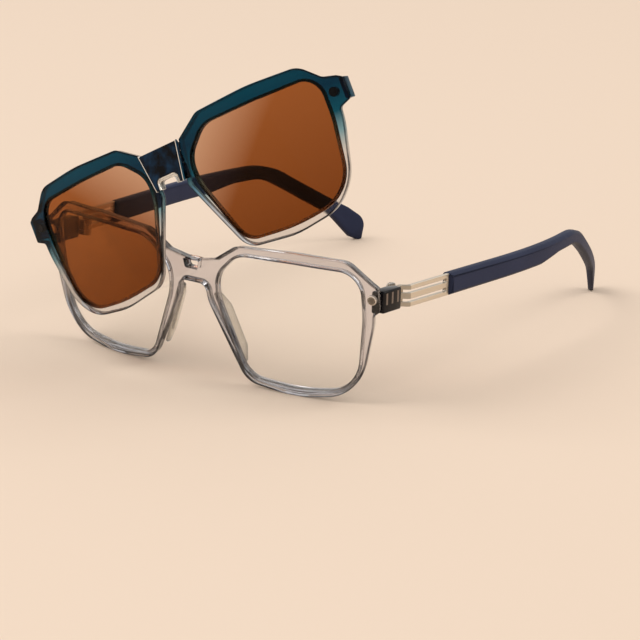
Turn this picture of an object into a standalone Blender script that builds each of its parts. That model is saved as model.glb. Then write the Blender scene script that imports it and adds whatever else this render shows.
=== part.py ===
"""Eyeglasses with a magnetic clip-on: the glasses stand open, and the tinted clip-on is lifted off
and turned in front of them.

The front and the clip-on are drawn flat, as (across, depth, up), cut while flat, and then bent
round a large cylinder and leaned. +X is the wearer's left, the front faces -Y, and Z is up.
"""
import math

import bmesh
import bpy
from mathutils import Matrix, Vector

MM = 0.001

# Driving sizes of the front
OPENING_WIDTH = 51.4 * MM
OPENING_HEIGHT = 41.4 * MM
NOSE_GAP = 19.4 * MM
FRONT_RADIUS = 265 * MM
FRONT_DEPTH = 3.3 * MM
OUTER_TAPER = 0.65 * MM
FLOOR_FLAT_DEPTH = 0.2 * MM
FRONT_LEAN = math.radians(5.1)
END_OVERHANG = 2.3 * MM
END_DROP = 8.5 * MM
END_HEIGHT = 7.4 * MM

# Rim widths, measured from the lens opening outwards
RIM_TOP = 3.7 * MM
RIM_BOTTOM = 1.9 * MM
RIM_TEMPLE_SIDE = 3.8 * MM
RIM_NOSE_SIDE = 4.3 * MM
BRIDGE_DROP = 4.1 * MM
BRIDGE_SAG = 1.7 * MM
BRIDGE_HEIGHT = 7.8 * MM
WINDOW_WIDTH = 6.0 * MM
WINDOW_HEIGHT = 2.9 * MM
WINDOW_BAR = 0.4 * MM

# Lenses and their grooves
LENS_THICKNESS = 1.6 * MM
LENS_SETBACK = 0.9 * MM
TINT_THICKNESS = 1.1 * MM
TINT_SETBACK = 0.6 * MM
GROOVE_DEPTH = 0.9 * MM
SEAT_GAP = 0.15 * MM

# Nose pads
PAD_LENGTH = 28.4 * MM
PAD_THICKNESS = 2.2 * MM
PAD_REACH = 3.7 * MM
PAD_MIDDLE = -5.1 * MM
PAD_SPLAY = 0.9 * MM

# Magnets
MAGNET_DIAMETER = 3.0 * MM
MAGNET_INSET = 2.4 * MM
FRAME_MAGNET_THICKNESS = 2.0 * MM
FRAME_MAGNET_PROUD = 0.2 * MM
CLIP_MAGNET_THICKNESS = 2.2 * MM

# End-piece block and temple hinge
BLOCK_LENGTH = 11.6 * MM
BLOCK_THICKNESS = 4.2 * MM
BLOCK_HEIGHT = 7.0 * MM
HINGE_INSET = 5.4 * MM
HINGE_SETBACK_GAP = 0.3 * MM
HINGE_DROP = 1.0 * MM
TEMPLE_DROP = math.radians(2.7)
LEFT_SPLAY = math.radians(1.2)
RIGHT_SPLAY = math.radians(4.0)
BARREL_RADIUS = 1.6 * MM
MIDDLE_BARREL = 2.0 * MM
SIDE_BARREL = 1.5 * MM
BARREL_GAP = 0.1 * MM
LEAF_INSET = 0.35 * MM
LEAF_THICKNESS = 1.2 * MM
LEAF_TANG = 8.0 * MM
LEAF_HEIGHT = 5.0 * MM
SCREW_RADIUS = 0.7 * MM
SCREW_HEAD_RADIUS = 1.2 * MM
SCREW_HEAD_HEIGHT = 0.5 * MM
BORE_CLEARANCE = 0.1 * MM

# Temple plate and tip
PLATE_THICKNESS = 1.2 * MM
PLATE_HEIGHT = 6.8 * MM
PLATE_JOG = 2.0 * MM
JOG_LENGTH = 2.2 * MM
CROSSBAR = 1.1 * MM
SLOT_WIDTH = 1.1 * MM
SLOT_SPACING = 2.9 * MM
SLOT_SETBACK = 1.8 * MM
PLATE_TANG = 18 * MM
TANG_HEIGHT = 4.0 * MM
TIP_START = 20.9 * MM
TIP_REACH = 113.5 * MM
TIP_FALL = 32.0 * MM
TIP_THICKNESS = 3.7 * MM
TIP_PROUD = 1.1 * MM
TIP_OVERLAP = 0.15 * MM
TIP_INWARD = 20 * MM
INWARD_START = 46 * MM
INWARD_LENGTH = 82 * MM
INWARD_POWER = 2.4
TIP_BEVEL = 0.7 * MM
FOOT_START = -9 * MM
FOOT_LENGTH = 20 * MM
FOOT_THINNING = 0.45

# Clip-on
CLIP_DEPTH = 2.4 * MM
CLIP_BOTTOM_RIM = 1.8 * MM
CLIP_TAPER = 0.4 * MM
CLIP_OPENING_RISE = 0.9 * MM
CLIP_OPENING_DROP = 1.4 * MM
TAB_OVERHANG = 2.1 * MM
LIP_THICKNESS = 1.8 * MM
LIP_DEPTH = 2.5 * MM
CLIP_BRIDGE_HALF_TOP = 7.9 * MM
CLIP_BRIDGE_HALF_BOTTOM = 5.6 * MM
CLIP_BRIDGE_DROP = 2.6 * MM
CLIP_BRIDGE_HEIGHT = 12.2 * MM
CLIP_ARCH_RISE = 3.5 * MM
CLIP_ARCH_HALF = 4.3 * MM
CLIP_BRIDGE_PROUD = 1.4 * MM
CLIP_PLATE_BACK = 0.5 * MM
CLIP_JOINT_GAP = 0.3 * MM
PIN_OFFSET = 5.9 * MM
PIN_DEPTH = 1.45 * MM
PIN_RADIUS = 0.5 * MM
PIN_CLEARANCE = 0.1 * MM
KNUCKLE_RADIUS = 1.1 * MM
HINGE_FOOT_RISE = 2.7 * MM
EAR_HEIGHT = 2.5 * MM
KNUCKLE_HEIGHT = 3.6 * MM
KNUCKLE_GAP = 0.15 * MM
PIN_FLOOR = 0.6 * MM

# How the clip-on is held in the picture: where the middle of its front lies, and how it is turned
CLIP_ACROSS = 5.45 * MM
CLIP_FORWARD = 12.9 * MM
CLIP_RISE = 37.5 * MM
CLIP_ROLL = math.radians(-28.4)
CLIP_LEAN = math.radians(-3.6)
CLIP_TURN = math.radians(0.9)

# Fineness of the curved outlines, and the overrun of every cut
ARC_STEP = math.radians(14)
BEND_STEP = 6.5 * MM
ROUND_SIDES = 24
OVERRUN = 1.0 * MM
WELD = 0.002 * MM

# Outline corners as shares of the opening: across from the nose edge, up from its lowest point,
# and the corner's radius as a share of its height
OPENING_SHARES = [
    (0.165, 0.995, 0.24), (0.000, 0.805, 0.28), (-0.005, 0.620, 0.45), (0.183, 0.040, 0.19),
    (0.540, 0.000, 1.60), (0.825, 0.042, 0.34), (0.955, 0.190, 0.34), (1.005, 0.640, 0.80),
    (1.003, 0.985, 0.27), (0.550, 1.000, 2.40),
]
# The temple tip seen from the side: back along its reach, down along its fall, and the corner's
# radius as a share of the fall
TIP_SHARES = [
    (0.000, 0.000, 0.02), (0.652, 0.006, 0.90), (0.722, 0.082, 0.60), (0.954, 0.598, 0.16),
    (1.002, 0.738, 0.18), (0.996, 1.035, 0.08), (0.986, 1.035, 0.04), (0.900, 0.655, 0.50),
    (0.762, 0.345, 0.70), (0.668, 0.155, 0.60), (0.550, 0.158, 0.30), (0.443, 0.210, 0.30),
    (0.000, 0.219, 0.02),
]

COLOURS = {
    "crystal": ((0.55, 0.48, 0.43), 0.12, 0.0), "clear_lens": ((0.85, 0.87, 0.87), 0.03, 0.0),
    "silicone": ((0.75, 0.72, 0.68), 0.30, 0.0), "magnet": ((0.62, 0.58, 0.52), 0.30, 1.0),
    "hinge_metal": ((0.60, 0.58, 0.55), 0.25, 1.0), "champagne": ((0.68, 0.60, 0.50), 0.32, 1.0),
    "navy": ((0.03, 0.04, 0.07), 0.55, 0.0), "blue_fade": ((0.01, 0.05, 0.09), 0.12, 0.0),
    "tint": ((0.26, 0.08, 0.02), 0.05, 0.0), "dark_blue": ((0.01, 0.02, 0.035), 0.15, 0.0),
}


def rounded(corners):
    """Points of a closed outline whose corners (x, y, radius) are rounded."""
    points = []
    for index, (x, y, radius) in enumerate(corners):
        here = Vector((x, y))
        before = Vector(corners[index - 1][:2]) - here
        after = Vector(corners[(index + 1) % len(corners)][:2]) - here
        half = before.angle(after) / 2
        run = min(radius / math.tan(half), before.length / 2, after.length / 2)
        turn = math.pi - 2 * half
        steps = max(1, round(turn / ARC_STEP))
        start = here + before.normalized() * run
        centre = here + (before.normalized() + after.normalized()).normalized() * (run / math.cos(half))
        arm = start - centre
        sign = 1 if before.cross(after) < 0 else -1
        for step in range(steps + 1):
            swing = Matrix.Rotation(sign * turn * step / steps, 2)
            points.append(centre + swing @ arm)
    return points


def grown(points, amount):
    """The outline moved outwards by amount, point by point; it runs anticlockwise."""
    result = []
    for index, point in enumerate(points):
        along = (points[(index + 1) % len(points)] - points[index - 1]).normalized()
        result.append(point + Vector((along.y, -along.x)) * amount)
    return result


def anticlockwise(points):
    area = sum(points[i - 1].cross(points[i]) for i in range(len(points)))
    return points if area > 0 else points[::-1]


def flipped(points):
    """The outline on the other side of the nose."""
    return [Vector((-p.x, p.y)) for p in reversed(points)]


def opening(rise=0.0, drop=0.0):
    """The lens opening on the wearer's left; rise lifts its lower edge, drop lowers its upper one."""
    low = -OPENING_HEIGHT / 2 + rise
    height = OPENING_HEIGHT - rise - drop
    corners = [(NOSE_GAP / 2 + x * OPENING_WIDTH, low + y * height, r * OPENING_HEIGHT)
               for x, y, r in OPENING_SHARES]
    return anticlockwise(rounded(corners))


def rim_corners(bottom_rim, end_corners):
    """Corners of a rim's outer edge, from the shoulder past the end piece's own corners to the nose."""
    nose = NOSE_GAP / 2
    temple_edge = nose + OPENING_WIDTH + RIM_TEMPLE_SIDE
    top = OPENING_HEIGHT / 2 + RIM_TOP
    low = -OPENING_HEIGHT / 2 - bottom_rim
    big = OPENING_HEIGHT
    inner = nose - RIM_NOSE_SIDE
    return [
        (nose + 0.155 * OPENING_WIDTH, top - 0.22 * RIM_TOP, 0.12 * big),
        (nose + 0.550 * OPENING_WIDTH, top + 0.03 * RIM_TOP, 2.00 * big),
        *end_corners,
        (temple_edge + 0.10 * RIM_TEMPLE_SIDE, END_LOW - 0.20 * END_HEIGHT, 0.03 * big),
        (temple_edge, 0.07 * big, 0.80 * big),
        (nose + 0.990 * OPENING_WIDTH, -0.325 * big, 0.40 * big),
        (nose + 0.842 * OPENING_WIDTH, low + 0.82 * bottom_rim, 0.40 * big),
        (nose + 0.530 * OPENING_WIDTH, low - 0.32 * bottom_rim, 0.80 * big),
        (nose + 0.176 * OPENING_WIDTH, low + 0.82 * bottom_rim, 0.20 * big),
        (inner + 0.05 * RIM_NOSE_SIDE, 0.095 * big, 0.30 * big),
    ]


def front_end():
    """The front's end piece, which carries on the slope of the rim's upper corner."""
    corner = 0.02 * OPENING_HEIGHT
    slope = (NOSE_GAP / 2 + 0.925 * OPENING_WIDTH, OPENING_HEIGHT / 2 + 0.85 * RIM_TOP, 8 * corner)
    return [slope, (END_REACH - 0.30 * END_HEIGHT, END_TOP + 0.22 * END_HEIGHT, corner),
            (END_REACH, END_TOP, corner), (END_REACH, END_LOW, corner)]


def clip_end():
    """The clip's end tab, which stands out past a dip at the foot of the slope."""
    corner = 0.02 * OPENING_HEIGHT
    slope = (NOSE_GAP / 2 + 0.910 * OPENING_WIDTH, OPENING_HEIGHT / 2 + 0.74 * RIM_TOP, 10 * corner)
    return [slope, (TAB_REACH - 0.85 * END_HEIGHT, END_TOP + 0.24 * END_HEIGHT, 4 * corner),
            (TAB_REACH - 0.25 * END_HEIGHT, END_TOP + 0.08 * END_HEIGHT, corner),
            (TAB_REACH, END_TOP - 0.06 * END_HEIGHT, corner), (TAB_REACH, END_LOW, corner)]


def front_outline():
    half = rim_corners(RIM_BOTTOM, front_end())
    nose = NOSE_GAP / 2
    middle = (0, BRIDGE_TOP, 0.20 * OPENING_HEIGHT)
    bridge_end = (nose - 0.04 * RIM_NOSE_SIDE, BRIDGE_TOP + BRIDGE_SAG, 0.03 * OPENING_HEIGHT)
    under = (0.53 * nose, BRIDGE_UNDERSIDE, 0.08 * OPENING_HEIGHT)
    right_half = [bridge_end] + half + [under]
    left_half = [(-x, y, r) for x, y, r in reversed(right_half)]
    return anticlockwise(rounded([middle] + right_half + left_half))


def bridge_window():
    """The small cup-shaped window through the front's bridge, under a thin bar."""
    top = BRIDGE_TOP - WINDOW_BAR
    half = WINDOW_WIDTH / 2
    corner = 0.3 * WINDOW_HEIGHT
    side = [(half, top, 0.4 * corner), (0.8 * half, top - WINDOW_HEIGHT, corner)]
    return anticlockwise(rounded(side + [(-x, y, r) for x, y, r in reversed(side)]))


def clip_rim_outline():
    """A clip rim on the wearer's left, up to its slanted edge at the bridge."""
    half = rim_corners(CLIP_BOTTOM_RIM, clip_end())
    corner = 1.5 * CLIP_TAPER
    top_edge = (CLIP_BRIDGE_HALF_TOP + CLIP_JOINT_GAP, CLIP_BRIDGE_TOP, corner)
    low_edge = (CLIP_BRIDGE_HALF_BOTTOM + CLIP_JOINT_GAP, CLIP_BRIDGE_FOOT, corner)
    return anticlockwise(rounded([top_edge] + half + [low_edge]))


def clip_bridge_outline():
    """The bridge plate: a tapered block over an arch."""
    corner = 0.01 * OPENING_HEIGHT
    side = [(CLIP_BRIDGE_HALF_TOP, CLIP_BRIDGE_TOP, corner),
            (CLIP_BRIDGE_HALF_BOTTOM, CLIP_BRIDGE_FOOT, corner),
            (CLIP_ARCH_HALF, CLIP_BRIDGE_FOOT, corner),
            (CLIP_ARCH_HALF, CLIP_BRIDGE_FOOT + CLIP_ARCH_RISE, 0.9 * CLIP_ARCH_RISE)]
    return anticlockwise(rounded(side + [(-x, y, r) for x, y, r in reversed(side)]))


def front_flat_to_world(point):
    """Bends a flat point (across, depth, up) round the front's cylinder, leans it and lifts it."""
    return front_place @ bent(point)


def clip_flat_to_world(point):
    return clip_place @ bent(point)


def bent(point):
    angle = point.x / FRONT_RADIUS
    radius = FRONT_RADIUS - point.y
    return Vector((radius * math.sin(angle), FRONT_RADIUS - radius * math.cos(angle), point.z))


def new_object(name, mesh):
    thing = bpy.data.objects.new(name, mesh)
    bpy.context.scene.collection.objects.link(thing)
    return thing


def slab(outlines, front, back, name="slab"):
    """A flat solid: the first outline with the others as holes, from depth front to depth back."""
    curve = bpy.data.curves.new(name, "CURVE")
    curve.dimensions = "2D"
    curve.fill_mode = "BOTH"
    curve.extrude = (back - front) / 2
    curve.resolution_u = 1
    for points in outlines:
        spline = curve.splines.new("POLY")
        spline.points.add(len(points) - 1)
        for spot, point in zip(spline.points, points):
            spot.co = (point.x, point.y, 0, 1)
        spline.use_cyclic_u = True
    outline = new_object(name, curve)
    outline.rotation_euler.x = math.pi / 2
    outline.location.y = (front + back) / 2
    bpy.context.view_layer.update()
    evaluated = outline.evaluated_get(bpy.context.evaluated_depsgraph_get())
    mesh = bpy.data.meshes.new_from_object(evaluated)
    mesh.transform(outline.matrix_world)
    bpy.data.objects.remove(outline)
    shape = bmesh.new()
    shape.from_mesh(mesh)
    bmesh.ops.remove_doubles(shape, verts=shape.verts, dist=WELD)
    face_outwards(shape)
    shape.to_mesh(mesh)
    shape.free()
    return new_object(name, mesh)


def face_outwards(shape):
    bmesh.ops.recalc_face_normals(shape, faces=shape.faces)
    if shape.calc_volume(signed=True) < 0:
        bmesh.ops.reverse_faces(shape, faces=shape.faces)


def taper(thing, outline, back, amount):
    """Draws in the rear edge of a flat solid, so that its outer side narrows towards the back."""
    narrowed = grown(outline, -amount)
    for vertex in thing.data.vertices:
        if abs(vertex.co.y - back) > WELD:
            continue
        for point, inner in zip(outline, narrowed):
            if abs(vertex.co.x - point.x) < WELD and abs(vertex.co.z - point.y) < WELD:
                vertex.co.x, vertex.co.z = inner
                break
    return thing


def box(low, high, name="box"):
    shape = bmesh.new()
    bmesh.ops.create_cube(shape, size=1)
    size = Vector(high) - Vector(low)
    middle = (Vector(high) + Vector(low)) / 2
    bmesh.ops.transform(shape, matrix=Matrix.Translation(middle) @ Matrix.Diagonal(size.to_4d()),
                        verts=shape.verts)
    mesh = bpy.data.meshes.new(name)
    shape.to_mesh(mesh)
    shape.free()
    return new_object(name, mesh)


def cylinder(radius, start, end, name="cylinder"):
    """A round bar from start to end."""
    axis = Vector(end) - Vector(start)
    turn = Vector((0, 0, 1)).rotation_difference(axis).to_matrix().to_4x4()
    shape = bmesh.new()
    bmesh.ops.create_cone(shape, cap_ends=True, segments=ROUND_SIDES, radius1=radius, radius2=radius,
                          depth=axis.length)
    middle = (Vector(start) + Vector(end)) / 2
    bmesh.ops.transform(shape, matrix=Matrix.Translation(middle) @ turn, verts=shape.verts)
    mesh = bpy.data.meshes.new(name)
    shape.to_mesh(mesh)
    shape.free()
    return new_object(name, mesh)


def boolean(target, tool, operation):
    """Joins the tool to the target, or cuts it away, and removes the tool."""
    modifier = target.modifiers.new(operation.lower(), "BOOLEAN")
    modifier.operation = operation
    modifier.object = tool
    modifier.solver = "EXACT"
    bpy.context.view_layer.update()
    evaluated = target.evaluated_get(bpy.context.evaluated_depsgraph_get())
    mesh = bpy.data.meshes.new_from_object(evaluated)
    target.modifiers.clear()
    target.data = mesh
    bpy.data.objects.remove(tool)
    return target


def cut(target, *tools):
    for tool in tools:
        boolean(target, tool, "DIFFERENCE")
    return target


def join(target, *tools):
    for tool in tools:
        boolean(target, tool, "UNION")
    return target


def mapped(thing, place, sliced=True):
    """Moves each corner of a flat-drawn solid to its place, sliced first so that it can bend."""
    shape = bmesh.new()
    shape.from_mesh(thing.data)
    if sliced:
        reach = max(abs(v.co.x) for v in shape.verts)
        count = int(reach / BEND_STEP)
        for step in range(-count, count + 1):
            geometry = shape.verts[:] + shape.edges[:] + shape.faces[:]
            bmesh.ops.bisect_plane(shape, geom=geometry, dist=WELD, plane_co=(step * BEND_STEP, 0, 0),
                                   plane_no=(1, 0, 0))
    bmesh.ops.triangulate(shape, faces=shape.faces)
    bmesh.ops.remove_doubles(shape, verts=shape.verts, dist=WELD)
    for vertex in shape.verts:
        vertex.co = place(vertex.co)
    face_outwards(shape)
    shape.to_mesh(thing.data)
    shape.free()
    return thing


def level_at_floor(thing):
    """Cuts a placed solid level with the floor where it stands."""
    shape = bmesh.new()
    shape.from_mesh(thing.data)
    geometry = shape.verts[:] + shape.edges[:] + shape.faces[:]
    bmesh.ops.bisect_plane(shape, geom=geometry, dist=WELD, plane_co=(0, 0, 0), plane_no=(0, 0, -1),
                           clear_outer=True)
    bmesh.ops.holes_fill(shape, edges=[e for e in shape.edges if e.is_boundary])
    bmesh.ops.triangulate(shape, faces=shape.faces)
    face_outwards(shape)
    shape.to_mesh(thing.data)
    shape.free()
    return thing


def reflect(thing):
    """Mirrors a solid to the wearer's right."""
    thing.data.transform(Matrix.Diagonal((-1, 1, 1, 1)))
    thing.data.flip_normals()
    return thing


def add_piece(thing, name, colour, parent=None):
    """Names a finished solid, gives it its material and sets its origin on its parent's axis."""
    thing.name = name
    thing.data.name = name
    base, roughness, metallic = COLOURS[colour]
    material = bpy.data.materials.get(colour) or bpy.data.materials.new(colour)
    material.use_nodes = True
    shader = material.node_tree.nodes["Principled BSDF"]
    shader.inputs["Base Color"].default_value = (*base, 1)
    shader.inputs["Roughness"].default_value = roughness
    shader.inputs["Metallic"].default_value = metallic
    thing.data.materials.clear()
    thing.data.materials.append(material)
    thing.data.shade_smooth()
    thing.data.set_sharp_from_angle(angle=math.radians(30))
    bpy.context.scene.collection.objects.unlink(thing)
    parts.objects.link(thing)
    if parent:
        thing.data.transform(parent.matrix_world.inverted())
        thing.parent = parent
    return thing


def add_axis(name, place, parent=None):
    """An empty on a joint's axis: its Z is the axis of a hinge, its Y the way of a slide."""
    axis = bpy.data.objects.new(name, None)
    parts.objects.link(axis)
    axis.empty_display_size = END_HEIGHT
    axis.parent = parent
    bpy.context.view_layer.update()
    axis.matrix_world = place
    bpy.context.view_layer.update()
    return axis


def sides():
    return (("left", 1), ("right", -1))


def both_sides(build, name, colour):
    """Builds a piece for the wearer's left, and its mirror image for the right."""
    for side, sign in sides():
        piece = build() if sign > 0 else reflect(build())
        add_piece(piece, f"{name}_{side}", colour)


def both_temples(build, name, colour):
    """The same for a piece of the temples, which stand open by their own splays."""
    for (side, sign), splay in zip(sides(), (LEFT_SPLAY, RIGHT_SPLAY)):
        piece = build(splay) if sign > 0 else reflect(build(splay))
        add_piece(piece, f"{name}_{side}", colour, temple_axes[side])


def temple_point(point):
    """Temple coordinates (outwards, back, up) from the hinge axis, for the wearer's left."""
    return temple_place @ point


def opened(splay):
    """Places a point of a temple that stands open past square by its splay."""
    return lambda point: temple_place @ (Matrix.Rotation(-splay, 4, "Z") @ point)


def opened_and_curved(splay):
    """The same with the temple's inward curve behind the ear."""
    def place(point):
        past = max(0.0, point.x - INWARD_START) / INWARD_LENGTH
        return opened(splay)(Vector((point.y - TIP_INWARD * past ** INWARD_POWER, point.x, point.z)))

    return place


def end_block():
    """The end piece's block, which runs back from the front to the temple hinge."""
    back = -HINGE_SETBACK
    front = back - BLOCK_LENGTH + 0.75 * FRONT_DEPTH
    block = box((HINGE_INSET - BLOCK_THICKNESS, front, -BLOCK_HEIGHT / 2),
                (HINGE_INSET, back, BLOCK_HEIGHT / 2))
    return mapped(block, temple_point, sliced=False)


def leaf_slot():
    """The slot in the block's rear face that holds the front leaf's tang."""
    gap = SEAT_GAP
    near = LEAF_PLACE - gap
    far = LEAF_PLACE + LEAF_THICKNESS + gap
    slot = box((near, -HINGE_SETBACK - LEAF_TANG - gap, -LEAF_HEIGHT / 2 - gap),
               (far, -HINGE_SETBACK + OVERRUN, LEAF_HEIGHT / 2 + gap))
    return mapped(slot, temple_point, sliced=False)


def build_front_frame():
    left_opening = opening()
    outline = front_outline()
    holes = [left_opening, flipped(left_opening), bridge_window()]
    frame = slab([outline, *holes], 0, FRONT_DEPTH, "front")
    taper(frame, outline, FRONT_DEPTH, OUTER_TAPER)
    groove_front = LENS_SETBACK - SEAT_GAP
    groove_back = LENS_SETBACK + LENS_THICKNESS + SEAT_GAP
    groove = grown(left_opening, GROOVE_DEPTH + SEAT_GAP)
    cut(frame, slab([groove], groove_front, groove_back),
        slab([flipped(groove)], groove_front, groove_back))
    for sign in (1, -1):
        across = sign * MAGNET_PLACE
        pocket_floor = FRAME_MAGNET_THICKNESS - FRAME_MAGNET_PROUD + SEAT_GAP
        cut(frame, cylinder(MAGNET_DIAMETER / 2 + SEAT_GAP, (across, -OVERRUN, END_MIDDLE),
                            (across, pocket_floor, END_MIDDLE)))
    mapped(frame, front_flat_to_world)
    join(frame, end_block(), reflect(end_block()))
    cut(frame, leaf_slot(), reflect(leaf_slot()))
    return level_at_floor(frame)


def build_demo_lens():
    outline = grown(opening(), GROOVE_DEPTH)
    lens = slab([outline], LENS_SETBACK, LENS_SETBACK + LENS_THICKNESS, "lens")
    return mapped(lens, front_flat_to_world)


def build_nose_pad():
    """A fin behind the rim at the nose, deepest in its middle and splayed towards the face."""
    half = PAD_LENGTH / 2
    profile = rounded([(0, half, 0.1 * half), (0, -half, 0.1 * half),
                       (PAD_REACH, -0.45 * half, 0.8 * PAD_REACH),
                       (PAD_REACH, 0.45 * half, 0.8 * PAD_REACH)])
    pad = slab([anticlockwise(profile)], 0, PAD_THICKNESS, "pad")
    lean = NOSE_SIDE_RUN / NOSE_SIDE_FALL

    def place(point):
        height = PAD_MIDDLE + point.z
        edge = NOSE_SIDE_START + lean * (NOSE_SIDE_TOP - height)
        across = edge + 0.3 * RIM_NOSE_SIDE + point.y + PAD_SPLAY * point.x / PAD_REACH
        return front_flat_to_world(Vector((across, FRONT_DEPTH + SEAT_GAP + point.x, height)))

    return mapped(pad, place, sliced=False)


def build_frame_magnet():
    front = -FRAME_MAGNET_PROUD
    magnet = cylinder(MAGNET_DIAMETER / 2, (MAGNET_PLACE, front, END_MIDDLE),
                      (MAGNET_PLACE, front + FRAME_MAGNET_THICKNESS, END_MIDDLE), "magnet")
    return mapped(magnet, front_flat_to_world, sliced=False)


def bored(leaf, low, high):
    return cut(leaf, cylinder(SCREW_RADIUS + BORE_CLEARANCE, (0, 0, low - OVERRUN), (0, 0, high + OVERRUN)))


def build_front_leaf():
    """Tang in the block, and the two outer barrels of the temple hinge."""
    half = LEAF_HEIGHT / 2
    back = -HINGE_SETBACK
    leaf = box((LEAF_PLACE, back - LEAF_TANG, -half),
               (LEAF_PLACE + LEAF_THICKNESS, back + 3 * BARREL_GAP, half))
    web = box((-0.3 * BARREL_RADIUS, back + BARREL_GAP, -half),
              (LEAF_PLACE + LEAF_THICKNESS, -0.2 * BARREL_RADIUS, half))
    join(leaf, web, cylinder(BARREL_RADIUS, (0, 0, -BARREL_TOP), (0, 0, BARREL_TOP)))
    reach = 2 * BARREL_RADIUS
    inner = MIDDLE_BARREL / 2 + BARREL_GAP
    cut(leaf, box((-reach, back + BARREL_GAP, -inner), (2 * reach, reach, inner)))
    bored(leaf, -BARREL_TOP, BARREL_TOP)
    return mapped(leaf, temple_point, sliced=False)


def build_temple_leaf(splay):
    """The middle barrel, its arm, and the pad that is brazed behind the plate's crossbar."""
    half = MIDDLE_BARREL / 2
    pad_outer = PLATE_PLACE - BARREL_GAP
    pad_inner = pad_outer - 0.85 * LEAF_THICKNESS
    leaf = cylinder(BARREL_RADIUS, (0, 0, -half), (0, 0, half))
    join(leaf, box((0, -0.6 * BARREL_RADIUS, -half), (pad_outer, 0.6 * BARREL_RADIUS, half)),
         box((pad_inner, 0.3 * BARREL_RADIUS, -LEAF_HEIGHT / 2),
             (pad_outer, 1.4 * BARREL_RADIUS, LEAF_HEIGHT / 2)))
    bored(leaf, -half, half)
    return mapped(leaf, opened(splay), sliced=False)


def build_hinge_screw():
    head_foot = BARREL_TOP + BARREL_GAP
    screw = cylinder(SCREW_RADIUS, (0, 0, -BARREL_TOP), (0, 0, head_foot + BARREL_GAP))
    join(screw, cylinder(SCREW_HEAD_RADIUS, (0, 0, head_foot), (0, 0, head_foot + SCREW_HEAD_HEIGHT)))
    slot = 0.2 * SCREW_HEAD_RADIUS
    cut(screw, box((-2 * SCREW_HEAD_RADIUS, -slot, head_foot + SCREW_HEAD_HEIGHT / 2),
                   (2 * SCREW_HEAD_RADIUS, slot, head_foot + 2 * SCREW_HEAD_HEIGHT)))
    return mapped(screw, temple_point, sliced=False)


def build_temple_plate(splay):
    """Three prongs between a front crossbar and a tang that goes into the tip, with one jog."""
    front = -HINGE_SETBACK + 4 * BARREL_GAP
    half = PLATE_HEIGHT / 2
    end = TIP_START + PLATE_TANG
    neck = TIP_START - SEAT_GAP
    outline = [(front, half), (front, -half), (neck, -half), (neck, -TANG_HEIGHT / 2),
               (end, -TANG_HEIGHT / 2), (end, TANG_HEIGHT / 2), (neck, TANG_HEIGHT / 2), (neck, half)]
    plate = slab([anticlockwise([Vector(p) for p in outline])], 0, PLATE_THICKNESS, "plate")
    slot_end = TIP_START - SLOT_SETBACK
    for sign in (1, -1):
        height = sign * SLOT_SPACING / 2
        slot = box((front + CROSSBAR, -OVERRUN, height - SLOT_WIDTH / 2),
                   (slot_end, PLATE_THICKNESS + OVERRUN, height + SLOT_WIDTH / 2))
        cut(plate, slot, cylinder(SLOT_WIDTH / 2, (slot_end, -OVERRUN, height),
                                  (slot_end, PLATE_THICKNESS + OVERRUN, height)))
    jog_start = front + CROSSBAR
    shape = bmesh.new()
    shape.from_mesh(plate.data)
    for along in (jog_start, jog_start + JOG_LENGTH):
        geometry = shape.verts[:] + shape.edges[:] + shape.faces[:]
        bmesh.ops.bisect_plane(shape, geom=geometry, dist=WELD, plane_co=(along, 0, 0), plane_no=(1, 0, 0))
    shape.to_mesh(plate.data)
    shape.free()

    def place(point):
        share = min(max((point.x - jog_start) / JOG_LENGTH, 0), 1)
        return opened(splay)(Vector((PLATE_PLACE + PLATE_JOG * share + point.y, point.x, point.z)))

    return mapped(plate, place, sliced=False)


def build_temple_tip(splay):
    """The dark temple with its ear bend, cut level where it stands and slotted for the tang."""
    top = TIP_HEIGHT / 2
    corners = [(TIP_START + x * TIP_REACH, top - y * TIP_FALL, r * TIP_FALL) for x, y, r in TIP_SHARES]
    outer = PLATE_PLACE + PLATE_JOG + PLATE_THICKNESS + TIP_PROUD
    tip = slab([anticlockwise(rounded(corners))], outer - TIP_THICKNESS, outer, "tip")
    bevel = tip.modifiers.new("edges", "BEVEL")
    bevel.width = TIP_BEVEL
    bevel.segments = 1
    bevel.limit_method = "ANGLE"
    bevel.angle_limit = math.radians(60)
    bpy.context.view_layer.update()
    evaluated = tip.evaluated_get(bpy.context.evaluated_depsgraph_get())
    tip.data = bpy.data.meshes.new_from_object(evaluated)
    tip.modifiers.clear()
    place_tang = PLATE_PLACE + PLATE_JOG
    cut(tip, box((TIP_START - OVERRUN, place_tang - SEAT_GAP, -TANG_HEIGHT / 2 - SEAT_GAP),
                 (TIP_START + PLATE_TANG + SEAT_GAP, place_tang + PLATE_THICKNESS + SEAT_GAP,
                  TANG_HEIGHT / 2 + SEAT_GAP)))

    def thinned(point):
        share = min(max((FOOT_START - point.z) / FOOT_LENGTH, 0), 1)
        middle = outer - TIP_THICKNESS / 2
        across = middle + (point.y - middle) * (1 - FOOT_THINNING * share)
        return opened_and_curved(splay)(Vector((point.x, across, point.z)))

    mapped(tip, thinned)
    return level_at_floor(tip)


def clip_band(low, high, radius):
    """A round about the clip's hinge axis, between two heights."""
    return cylinder(radius, (PIN_OFFSET, PIN_DEPTH, low), (PIN_OFFSET, PIN_DEPTH, high))


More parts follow.
